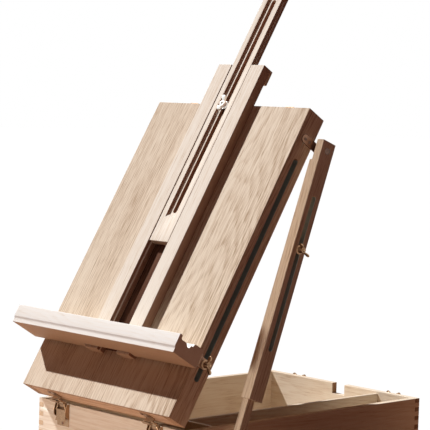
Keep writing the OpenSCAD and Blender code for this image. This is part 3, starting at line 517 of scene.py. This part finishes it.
def easedCopy(node, material, width):
    # a copy of the part with its triangles merged into flat faces and a rounded bevel along every sharp edge
    source = frame["nodes"][node]
    mesh = source.data.copy()
    mesh.name = node + "_eased"
    form = bmesh.new()
    form.from_mesh(mesh)
    bmesh.ops.remove_doubles(form, verts=form.verts, dist=easeSet["weld"])
    bmesh.ops.dissolve_limit(
        form, angle_limit=math.radians(easeSet["flat"]), verts=form.verts, edges=form.edges,
        use_dissolve_boundaries=False,
    )
    form.to_mesh(mesh)
    form.free()
    mesh.materials.clear()
    mesh.materials.append(material)
    piece = bpy.data.objects.new(node + "_eased", mesh)
    bpy.context.scene.collection.objects.link(piece)
    bevel = piece.modifiers.new("ease", "BEVEL")
    bevel.width = width
    bevel.segments = easeSet["segments"]
    bevel.limit_method = "ANGLE"
    bevel.angle_limit = math.radians(easeSet["angle"])
    bevel.use_clamp_overlap = False
    bevel.miter_outer = "MITER_ARC"
    smoothed(mesh, easeSet["sharp"])
    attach(piece, source["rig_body"])
    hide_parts(node)
    return piece


for parts, width in ((woodParts, easeSet["wood"]), (plateParts, easeSet["plate"])):
    for materialName, nodeNames in parts.items():
        for nodeName in nodeNames:
            easedCopy(nodeName, materials[materialName], width)
print("wooden parts and metal plates eased")

# Surfaces worked out on grids


def gridQuads(rows, columns, closeRows=False, closeColumns=True):
    # quads between neighbours of a rows by columns grid, wrapped round where it is closed
    i = np.arange(rows if closeRows else rows - 1)[:, None]
    j = np.arange(columns if closeColumns else columns - 1)[None, :]
    right, below = (j + 1) % columns, (i + 1) % rows
    corners = [i * columns + j, i * columns + right, below * columns + right, below * columns + j]
    return np.stack([np.broadcast_to(corner, (i.size, j.size)) for corner in corners], -1).reshape(-1, 4)


def crossways(axis):
    # two unit directions square to the axis and to each other
    axis = np.array(axis, float)
    start = np.eye(3)[np.argmin(np.abs(axis))]
    first = np.cross(axis, start)
    first /= np.linalg.norm(first)
    return first, np.cross(axis, first)


def lathe(profile, foot, axis, sides=36):
    # a turned surface: point = foot + h axis + r (cos t, sin t) across it, for each (h, r) of the profile
    h, r = np.array(profile, float).T[:, :, None]
    first, second = crossways(axis)
    t = np.arange(sides) * 2 * np.pi / sides
    ring = np.cos(t)[None, :, None] * first + np.sin(t)[None, :, None] * second
    points = np.array(foot, float) + h[:, :, None] * np.array(axis, float) + r[:, :, None] * ring
    return points.reshape(-1, 3), gridQuads(len(profile), sides)


def wireAlong(path, normal, radius, closed, sides=16):
    # a round wire: point = path + radius (cos t normal + sin t side), side being square to path and normal
    path, normal = np.array(path, float), np.array(normal, float)
    if closed:
        along = np.roll(path, -1, 0) - np.roll(path, 1, 0)
    else:
        along = np.gradient(path, axis=0)
    along /= np.linalg.norm(along, axis=1)[:, None]
    side = np.cross(along, normal)
    t = np.arange(sides) * 2 * np.pi / sides
    ring = np.cos(t)[None, :, None] * normal + np.sin(t)[None, :, None] * side[:, None]
    points = path[:, None] + radius * ring
    if not closed:
        first, last = (np.repeat(end[:, None], sides, 1) for end in (path[:1], path[-1:]))
        points = np.concatenate([first, points, last])
    return points.reshape(-1, 3), gridQuads(len(points), sides, closeRows=closed)


def rounded(corners, radii, closed, steps=10):
    # a flat path through the corners, each corner turned on an arc: centre + radius (cos t, sin t)
    corners = np.array(corners, float)
    count = len(corners)
    pieces = []
    for index, radius in enumerate(radii):
        here = corners[index]
        if not closed and index in (0, count - 1):
            pieces.append(here[None])
            continue
        before, after = corners[index - 1] - here, corners[(index + 1) % count] - here
        before, after = before / np.linalg.norm(before), after / np.linalg.norm(after)
        half = math.acos(float(np.clip(before @ after, -1, 1))) / 2
        middle = (before + after) / np.linalg.norm(before + after)
        centre = here + middle * radius / math.sin(half)
        start = here + before * radius / math.tan(half) - centre
        end = here + after * radius / math.tan(half) - centre
        share = np.linspace(0, 1, steps)[:, None]
        turn = math.pi - 2 * half
        arc = np.sin((1 - share) * turn) * start + np.sin(share * turn) * end
        pieces.append(centre + arc / math.sin(turn))
    return np.concatenate(pieces)


def joined(parts):
    # several surfaces as one, each one's face numbers moved past the points before it
    starts = np.cumsum([0] + [len(points) for points, _ in parts[:-1]])
    return (
        np.concatenate([points for points, _ in parts]),
        np.concatenate([quads + start for start, (_, quads) in zip(starts, parts)]),
    )


surfaceWeld = 0.0005 * mm


def addPiece(name, surface, material, nodes, sharp=35.0, hides=True):
    # the surface as a mesh with its poles closed and its faces turned outwards, riding where its nodes ride
    points, quads = surface
    mesh = bpy.data.meshes.new(name)
    mesh.from_pydata(points.tolist(), [], quads.tolist())
    form = bmesh.new()
    form.from_mesh(mesh)
    bmesh.ops.remove_doubles(form, verts=form.verts, dist=surfaceWeld)
    bmesh.ops.recalc_face_normals(form, faces=form.faces)
    form.to_mesh(mesh)
    form.free()
    smoothed(mesh, sharp)
    mesh.materials.append(material)
    piece = bpy.data.objects.new(name, mesh)
    bpy.context.scene.collection.objects.link(piece)
    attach(piece, frame["nodes"][nodes[0]]["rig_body"])
    if hides:
        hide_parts(*nodes)
    return piece


def closeEnds(piece):
    # the open ends of a carried outline filled with flat faces
    form = bmesh.new()
    form.from_mesh(piece.data)
    bmesh.ops.dissolve_degenerate(form, edges=form.edges, dist=surfaceWeld)
    bmesh.ops.holes_fill(form, edges=[edge for edge in form.edges if edge.is_boundary], sides=0)
    bmesh.ops.recalc_face_normals(form, faces=form.faces)
    form.to_mesh(piece.data)
    form.free()


def islands(node):
    # the points of each separate solid of a node, in the order of the node's own points, the same in each run
    form = bmesh.new()
    form.from_mesh(frame["nodes"][node].data)
    bmesh.ops.remove_doubles(form, verts=form.verts, dist=easeSet["weld"])
    reached, found = set(), []
    for start in form.verts:
        if start in reached:
            continue
        reached.add(start)
        ahead, group = [start], []
        while ahead:
            point = ahead.pop()
            group.append(point.co[:])
            for edge in point.link_edges:
                other = edge.other_vert(point)
                if other not in reached:
                    reached.add(other)
                    ahead.append(other)
        found.append(np.array(group))
    form.free()
    return found


# The mast: its groove widened to what shows in front, and its sides moved in a little from the rails

mastSet = dict(cadGroove=9.5 * mm, groove=12.0 * mm, cadEdge=24.0 * mm, edge=23.3 * mm, near=0.05 * mm)


def makeMast():
    mast = easedCopy("mast", materials["mast"], easeSet["wood"])
    points = np.empty(len(mast.data.vertices) * 3)
    mast.data.vertices.foreach_get("co", points)
    x = points[0::3]
    for wall in ("groove", "edge"):
        meets = np.abs(np.abs(x) - mastSet["cad" + wall.title()]) < mastSet["near"]
        points[0::3] = np.where(meets, np.sign(x) * mastSet[wall], x)
    mast.data.vertices.foreach_set("co", points)
    mast.data.update()


makeMast()

# The ledge: a moulded outline carried across the lid, with its back let in round the rails; all in mm

lidCorner = dict(up=5.8, out=-1.6)
ledgeSet = dict(
    foot=86.0,
    half=208.5,
    letIn=59.3,
    back=48.0,
    inner=62.0,
    height=32.0,
    sharp=24.0,
    outline=[
        (106.1, 0.0), (106.4, 0.4), (106.4, 6.2), (106.6, 7.0), (107.2, 8.4), (107.9, 9.5), (108.3, 10.2),
        (108.5, 11.0), (108.5, 31.2), (107.7, 32.0), (103.2, 32.0), (102.3, 31.2), (101.6, 26.4), (100.6, 25.2),
        (99.2, 25.0), (89.2, 25.0), (88.3, 24.6), (84.2, 20.8), (83.2, 20.2), (80.0, 20.2), (79.0, 20.7),
        (76.4, 25.6), (75.6, 26.0), (73.4, 26.0), (72.6, 26.4), (71.0, 30.6), (70.0, 31.4), (68.5, 31.7),
    ],
)


def lidPlace(x, out, up):
    # a place on the lid: x across it, out along its normal and up along its grain, from the lid's foot, in mm
    along, away = np.array(lidUp), np.array(lidOut)
    corner = np.array(lidAxis) + along * lidCorner["up"] * mm + away * lidCorner["out"] * mm
    return corner + away * out * mm + along * up * mm + np.array([x * mm, 0, 0])


def makeLedge():
    # point = lidPlace(x, outline), with the outline's back at the lid or let in, in rows along x
    s = ledgeSet
    spans = [(-s["half"], s["back"]), (-s["letIn"], s["back"]), (-s["letIn"], s["inner"])]
    spans += [(-x, back) for x, back in spans[::-1]]
    rows = []
    for x, back in spans:
        section = s["outline"] + [(s["inner"], s["height"]), (back, s["height"]), (back, 0.0), (s["inner"], 0.0)]
        rows.append([lidPlace(x, out, s["foot"] + up) for out, up in section])
    points = np.array(rows)
    surface = points.reshape(-1, 3), gridQuads(len(spans), points.shape[1])
    ledge = addPiece("ledge_moulded", surface, materials["ledge"], ("ledge",), sharp=s["sharp"])
    closeEnds(ledge)
    smoothed(ledge.data, s["sharp"])


makeLedge()

# The mast's shade sheet: a thin dark strip on the lid between the rails, painted shade standing in for the
# shadow that fills the channel; all in mm

shadeSheetSet = dict(half=24.4, foot=90.0, top=617.0, low=41.05, high=41.5, edge=0.2)


def makeShadeSheet():
    # a flat outline with broken edges, carried up the lid from foot to top
    b = shadeSheetSet
    shoulder = b["high"] - b["edge"]
    outline = [
        (-b["half"], b["low"]), (b["half"], b["low"]), (b["half"], shoulder), (b["half"] - b["edge"], b["high"]),
        (b["edge"] - b["half"], b["high"]), (-b["half"], shoulder),
    ]
    points = np.array([[lidPlace(x, out, up) for x, out in outline] for up in (b["foot"], b["top"])])
    surface = points.reshape(-1, 3), gridQuads(2, len(outline))
    closeEnds(addPiece("mast_shade_sheet", surface, materials["shadeSheet"], ("rail_left",), hides=False))


makeShadeSheet()
print("mast, bed and ledge made")

# Turned parts: screws, bolts and pins, read as steps of (height, radius) from the CAD part's own rims

turnedSet = dict(
    levelReach=0.012 * mm, leastRadius=0.2 * mm, chamfer=0.25 * mm, pitch=1.0 * mm, threadDepth=0.28 * mm,
    sharp=32.0,
)


def stepsOf(points, axis):
    # the foot point on the axis, and the outline's (height, radius) steps from the low end to the high end
    axis = np.array(axis, float)
    heights = points @ axis
    flat = points - heights[:, None] * axis
    first, second = crossways(axis)
    spots = np.stack([flat @ first, flat @ second], 1)
    middle = (spots.min(0) + spots.max(0)) / 2
    radii = np.linalg.norm(spots - middle, axis=1)
    foot = middle[0] * first + middle[1] * second
    levels = np.unique(np.round(heights / mm, 2)) * mm
    outline, current = [], None
    for level in levels:
        here = np.unique(np.round(radii[np.abs(heights - level) < turnedSet["levelReach"]] / mm, 1)) * mm
        here = here[here > turnedSet["leastRadius"]]
        if not len(here):
            continue
        low, high = here.min(), here.max()
        if current is None:
            outline += [(level, 0.0), (level, high)]
            current = high
        elif level == levels[-1]:
            outline += [(level, current), (level, 0.0)]
        else:
            nearest = low if abs(low - current) < abs(high - current) else high
            other = high if nearest == low else low
            outline += [(level, nearest), (level, other)]
            current = other
    return foot, outline


def chamfered(outline, size):
    # each square corner of the outline cut back by the size along both of its sides
    corners = np.array(outline, float)
    keep = [0] + [k for k in range(1, len(corners)) if np.linalg.norm(corners[k] - corners[k - 1]) > 1e-6]
    corners = corners[keep]
    made = [corners[0]]
    for k in range(1, len(corners) - 1):
        before, after = corners[k - 1] - corners[k], corners[k + 1] - corners[k]
        lengths = np.linalg.norm(before), np.linalg.norm(after)
        if abs(before @ after) > 0.99 * lengths[0] * lengths[1]:
            continue
        reach = min(size, lengths[0] / 3, lengths[1] / 3)
        made += [corners[k] + before / lengths[0] * reach, corners[k] + after / lengths[1] * reach]
    return np.array(made + [corners[-1]])


def threaded(outline, length):
    # the last stretch of the outline as a thread: radius less depth times a triangle wave along the height
    top, radius = outline[-1][0], outline[-2][1]
    pitch, depth = turnedSet["pitch"], turnedSet["threadDepth"]
    heights = np.arange(top - length, top - 1.2 * pitch, pitch / 2)
    waves = radius - depth * (np.arange(len(heights)) % 2)
    taper = [(top - pitch, radius - depth), (top - 0.3 * pitch, radius - 2 * depth), (top, radius - 3 * depth)]
    body = [tuple(step) for step in outline[:-2] if step[0] < top - length]
    return (body or [(heights[0], 0.0)]) + list(zip(heights, waves)) + taper + [(top, 0.0)]


# a screw's head and shank; the slot's width, the dome and the rim are shares of the radius or of the height
headSet = dict(
    slotWidth=0.35, slotFoot=0.86, slotEnd=0.93, slotDepth=0.6 * mm, rowsFrom=0.18, rows=8, columns=19,
    shoulder=0.35, curve=0.92, rim=0.2, least=0.3 * mm, shankChamfer=0.1 * mm, shankSides=16,
    firstTurn=0.7, nextTurn=1.9, sharp=40.0,
)


def slottedHead(centre, axis, radius, height, turn):
    # a domed head on rows of constant y: x = u sqrt(1 - y^2), z = dome less the slot's depth where |y| is small
    s = headSet
    wide, foot = s["slotWidth"] / 2, s["slotWidth"] / 2 * s["slotFoot"]
    y = np.concatenate([
        np.sin(np.linspace(-1, -s["rowsFrom"], s["rows"]) * np.pi / 2), [-wide, -foot, foot, wide],
        np.sin(np.linspace(s["rowsFrom"], 1, s["rows"]) * np.pi / 2),
    ])[:, None]
    u = np.sin(np.linspace(-1, 1, s["columns"]) * np.pi / 2)[None, :]
    x = u * np.sqrt(np.clip(1 - y * y, 0, 1))
    fromMiddle = x * x + y * y
    dome = height * (s["shoulder"] + (1 - s["shoulder"]) * np.sqrt(np.clip(1 - s["curve"] * fromMiddle, 0, 1)))
    slot = (np.abs(y) < wide * 0.9) & (fromMiddle < s["slotEnd"])
    z = dome - np.where(slot, s["slotDepth"], 0)
    rim = (np.abs(u) > 0.9999) | (np.abs(y) > 0.9999)
    first, second = crossways(axis)
    across = math.cos(turn) * first + math.sin(turn) * second
    other = np.cross(np.array(axis, float), across)

    def placed(depth):
        flat = radius * (x[..., None] * across + (y + 0 * x)[..., None] * other)
        return (np.array(centre) + flat + depth[..., None] * np.array(axis, float)).reshape(-1, 3)

    top = placed(np.where(rim, height * s["rim"], z))
    below = placed(np.zeros_like(z))
    faces = gridQuads(*x.shape, closeColumns=False)
    rows, columns = x.shape
    edge = np.concatenate([
        np.arange(columns), np.arange(1, rows) * columns + columns - 1,
        (rows - 1) * columns + np.arange(columns - 2, -1, -1), np.arange(rows - 2, 0, -1) * columns,
    ])
    around = np.stack([edge, np.roll(edge, -1), np.roll(edge, -1) + len(top), edge + len(top)], 1)
    return np.concatenate([top, below]), np.concatenate([faces, faces + len(top), around])


def screwsOf(node, outwards, material):
    # every screw of a node: its shank as turned, and a slotted head at its outer end; slots stop at odd angles
    parts = []
    for index, points in enumerate(islands(node)):
        axis = np.array(outwards(points.mean(0)), float)
        foot, outline = stepsOf(points, axis)
        top, radius = outline[-1][0], outline[-2][1]
        shoulder = [step for step in outline if step[0] < top - headSet["least"]]
        neck = shoulder[-1][0]
        shank = chamfered(shoulder[:-1] + [(neck, 0.0)], headSet["shankChamfer"])
        parts.append(lathe(shank, foot, axis, sides=headSet["shankSides"]))
        turn = headSet["firstTurn"] + headSet["nextTurn"] * index
        parts.append(slottedHead(foot + neck * axis, axis, radius, top - neck, turn))
    addPiece(node + "_slotted", joined(parts), material, (node,), sharp=headSet["sharp"])


def shaftsOf(node, outwards, material, thread):
    # every bolt or pin of a node, its edges broken and, where it takes a nut, its end threaded
    parts = []
    for points in islands(node):
        axis = np.array(outwards(points.mean(0)), float)
        foot, outline = stepsOf(points, axis)
        outline = [tuple(step) for step in chamfered(outline, turnedSet["chamfer"])]
        parts.append(lathe(threaded(outline, thread) if thread else outline, foot, axis))
    addPiece(node + "_turned", joined(parts), material, (node,), sharp=turnedSet["sharp"])


# the ways that screws, bolts and pins point, each from the middle of the solid


def sideways(middle):
    return (math.copysign(1, middle[0]), 0, 0)


def toFront(middle):
    return (0, -1, 0)


def toBack(middle):
    return (0, 1, 0)


def outOfLid(middle):
    return tuple(lidOut)


def behindLid(middle):
    return tuple(-lidOut)


def lidEndways(middle):
    # up at the lid's top and down at its foot, told apart at 0.3 m up the lid
    up = np.array(lidUp)
    return tuple(up * (1 if (middle - np.array(lidAxis)) @ up > 0.3 else -1))


screwNodes = dict(
    hinge_screws=(toFront, "darkSteel"),
    catch_screws=(toBack, "darkSteel"),
    handle_screws=(toBack, "nickel"),
    keeper_screws=(lidEndways, "darkSteel"),
    strap_screws=(sideways, "shadeBrownMetal"),
    bracket_screws=(behindLid, "nickel"),
    bridge_screws=(behindLid, "darkSteel"),
)
shaftNodes = dict(
    mast_bolt=(outOfLid, "nickel", 9 * mm),
    ledge_bolts=(sideways, "brassed", 11 * mm),
    clamp_bolt_left=(sideways, "brassed", 11 * mm),
    clamp_bolt_right=(sideways, "brassed", 11 * mm),
    arm_pins=(sideways, "shadeBrownMetal", 0.0),
    foot_pin_left=(sideways, "shadeBrownMetal", 0.0),
    foot_pin_right=(sideways, "shadeBrownMetal", 0.0),
    catch_pins=(sideways, "darkSteel", 0.0),
)
for nodeName, (way, materialName) in screwNodes.items():
    screwsOf(nodeName, way, materials[materialName])
for nodeName, (way, materialName, thread) in shaftNodes.items():
    shaftsOf(nodeName, way, materials[materialName], thread)
print("screws, bolts and pins turned")

# Wing nuts, in mm; the mast's is lower and fatter than the others

wingSet = dict(bore=3.08, flange=8.0, flangeThick=1.5, hub=6.0, hubTop=4.5, hubHeight=11.0, root=(3.4, 6.9),
               lobe=(11.2, 12.0), lobeRadius=4.0, neck=2.35, thick=1.5, waist=1.15, chamfer=0.4, easeFrom=0.25,
               swell=0.8, swellReach=1.6, squareness=(0.85, 0.7), sides=28, hubSides=40, rows=(16, 14))
lowWing = dict(wingSet, hubHeight=9.0, hubTop=5.0, lobe=(10.8, 9.6), root=(3.6, 5.2), lobeRadius=4.2, thick=4.0,
               waist=3.0, neck=3.2)


def wingNut(foot, axis, way, w):
    # hub: a turned loop; wing: an ellipse carried from the hub to the lobe, its half width and half thickness
    # easing from neck to lobe, then the width is sqrt(R^2 - x^2) round the lobe's end
    hub = chamfered([
        (0, w["bore"]), (0, w["flange"]), (w["flangeThick"], w["flange"]), (w["flangeThick"], w["hub"]),
        (w["hubHeight"], w["hubTop"]), (w["hubHeight"], w["bore"]), (0, w["bore"]),
    ], w["chamfer"])
    parts = [lathe(np.array(hub) * mm, foot, axis, sides=w["hubSides"])]
    root, lobe, end = np.array(w["root"]), np.array(w["lobe"]), w["lobeRadius"]
    reach = np.linalg.norm(lobe - root)
    along = (lobe - root) / reach
    square = np.array([-along[1], along[0]])
    stem = np.linspace(0, reach, w["rows"][0])
    tip = reach + end * np.sin(np.linspace(0.1, 1, w["rows"][1]) * np.pi / 2)
    share = np.concatenate([stem, tip])
    rise = np.clip((share - w["easeFrom"] * reach) / ((1 - w["easeFrom"]) * reach), 0, 1)
    ease = rise * rise * (3 - 2 * rise)
    close = np.sqrt(np.clip(1 - (np.clip(share - reach, 0, end) / end) ** 2, 0, 1))
    width = (w["neck"] + (end - w["neck"]) * ease) * close
    thick = (w["waist"] + (w["thick"] - w["waist"]) * ease) * np.sqrt(close)
    thick = thick + w["swell"] * np.exp(-share / w["swellReach"])
    thick[-1] = width[-1] = 0
    t = np.arange(w["sides"]) * 2 * np.pi / w["sides"]
    across = np.sign(np.cos(t)) * np.abs(np.cos(t)) ** w["squareness"][0]
    deep = np.sign(np.sin(t)) * np.abs(np.sin(t)) ** w["squareness"][1]
    inPlane = root + share[:, None, None] * along + (width[:, None] * across)[..., None] * square
    offset = thick[:, None] * deep
    axis, way = np.array(axis, float), np.array(way, float)
    side = np.cross(axis, way)
    for sign in (1, -1):
        points = (
            np.array(foot) + sign * inPlane[..., :1] * mm * way + inPlane[..., 1:] * mm * axis
            + sign * offset[..., None] * mm * side
        )
        pole = np.repeat(points[:1].mean(1, keepdims=True), w["sides"], 1)
        points = np.concatenate([pole, points])
        parts.append((points.reshape(-1, 3), gridQuads(len(points), w["sides"])))
    return joined(parts)


def nutFrom(node, joint, material, form=wingSet):
    # the nut's place and the way its wings point, from the CAD nut's own points
    points = np.array([vertex.co[:] for vertex in frame["nodes"][node].data.vertices])
    axis = np.array(joints[joint]["axis"], float)
    if node.endswith(("left", "right")):
        axis = np.array(sideways(points.mean(0)))
    heights = points @ axis
    flat = points - heights[:, None] * axis
    middle = (flat[heights < heights.min() + 0.1 * mm]).mean(0)
    spread = flat - middle
    way = np.linalg.eigh(spread.T @ spread)[1][:, -1]
    addPiece(node + "_cast", wingNut(middle + heights.min() * axis, axis, way, form), material, (node,))


nutFrom("mast_wing_nut", "mast_nut_turn", materials["nickel"], lowWing)
for sideName in ("left", "right"):
    nutFrom("ledge_wing_nut_" + sideName, "ledge_nut_turn_" + sideName, materials["brassed"])
    nutFrom("arm_wing_nut_" + sideName, "arm_nut_turn_" + sideName, materials["brassed"])
print("wing nuts cast")

# Wire bails, and the handle at the back; a corner's radius is given in wire radii

bailSet = dict(hingeWire=1.5 * mm, catchWire=1.1 * mm, corner=2.6, outerReach=0.35 * mm)
handleSet = dict(wire=2.5 * mm, inset=10.75 * mm, topBend=2.7 * mm, lowBend=10.0 * mm)
gripSet = dict(
    low=5.9 * mm, high=6.95 * mm, rows=61, sides=40, ringAt=0.84, ringDepth=0.7 * mm, ringWidth=0.9 * mm,
    play=0.05 * mm, endStep=0.8 * mm,
)


def bailLoops(node, pivot, radius):
    # each loop as a rounded rectangle: one run on the pivot's axis, the other where the CAD loop ends
    parts = []
    across = np.array([1.0, 0, 0])
    for points in islands(node):
        middle = (points[:, 0].min() + points[:, 0].max()) / 2
        half = (points[:, 0].max() - points[:, 0].min()) / 2 - radius
        fromPivot = points[:, 1:] - np.array(pivot)[1:]
        far = np.linalg.norm(fromPivot, axis=1)
        outer = fromPivot[far > far.max() - bailSet["outerReach"]].mean(0)
        rise = np.array([0, *(outer / np.linalg.norm(outer))])
        reach = far.max() - radius
        corners = [(-half, 0), (half, 0), (half, reach), (-half, reach)]
        flat = rounded(corners, [bailSet["corner"] * radius] * 4, True)
        path = np.array([middle, pivot[1], pivot[2]]) + flat[:, :1] * across + flat[:, 1:] * rise
        parts.append(wireAlong(path, np.cross(across, rise), radius, True))
    return joined(parts)


hingeLoops = bailLoops("hinge_bails", lidAxis, bailSet["hingeWire"])
addPiece("hinge_bails_bent", hingeLoops, materials["brassed"], ("hinge_bails",))
for sideName in ("left", "right"):
    node = "catch_bail_" + sideName
    catchLoop = bailLoops(node, joints["catch_bail_swing_" + sideName]["pos_m"], bailSet["catchWire"])
    addPiece(node + "_bent", catchLoop, materials["brassed"], (node,))


def makeHandle():
    # a wire bent from bracket to bracket, and a grip turned round its lower run
    low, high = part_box("handle_wire")
    middle = (low[1] + high[1]) / 2
    radius, end = handleSet["wire"], high[0]
    top, bottom = high[2] - radius, low[2] + radius
    leg = end - handleSet["inset"]
    topBend, lowBend = handleSet["topBend"], handleSet["lowBend"]
    corners = [(-end, top), (-leg, top), (-leg, bottom), (leg, bottom), (leg, top), (end, top)]
    flat = rounded(corners, [0, topBend, lowBend, lowBend, topBend, 0], False)
    path = np.stack([flat[:, 0], np.full(len(flat), middle), flat[:, 1]], 1)
    wire = wireAlong(path, (0, 1.0, 0), radius, False)
    addPiece("handle_wire_bent", wire, materials["darkSteel"], ("handle_wire",))
    # the grip: a turned barrel, radius low + (high - low) (1 - (h/half)^4), with a cut ring near each end
    g = gripSet
    gripLow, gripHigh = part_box("handle_grip")
    half = (gripHigh[0] - gripLow[0]) / 2
    h = np.linspace(-half, half, g["rows"])
    r = g["low"] + (g["high"] - g["low"]) * (1 - (h / half) ** 4)
    r -= g["ringDepth"] * np.exp(-((np.abs(h) - half * g["ringAt"]) / g["ringWidth"]) ** 2)
    bore = radius + g["play"]
    profile = [(-half, bore), (-half, r[0] - g["endStep"])] + list(zip(h[1:-1], r[1:-1]))
    profile += [(half, r[-1] - g["endStep"]), (half, bore), (-half, bore)]
    foot = np.array([(gripLow[0] + gripHigh[0]) / 2, middle, bottom])
    grip = lathe(profile, foot, (1.0, 0, 0), sides=g["sides"])
    addPiece("handle_grip_turned", grip, materials["grip"], ("handle_grip",))


makeHandle()
print("bails bent and handle made")

# A soft front light for the faces that look forward from under and beside the lid

lit = bpy.data.collections.new("frontLit")
for piece in bpy.context.scene.objects:
    if piece.type == "MESH" and piece.name.startswith(lightSet["fillNodes"]) and not piece.hide_render:
        lit.objects.link(piece)
addSun(
    "frontFill", lightSet["fillWay"], lightSet["fillStrength"], lightSet["fillAngle"],
    colour=lightSet["fillColour"], onto=lit,
)
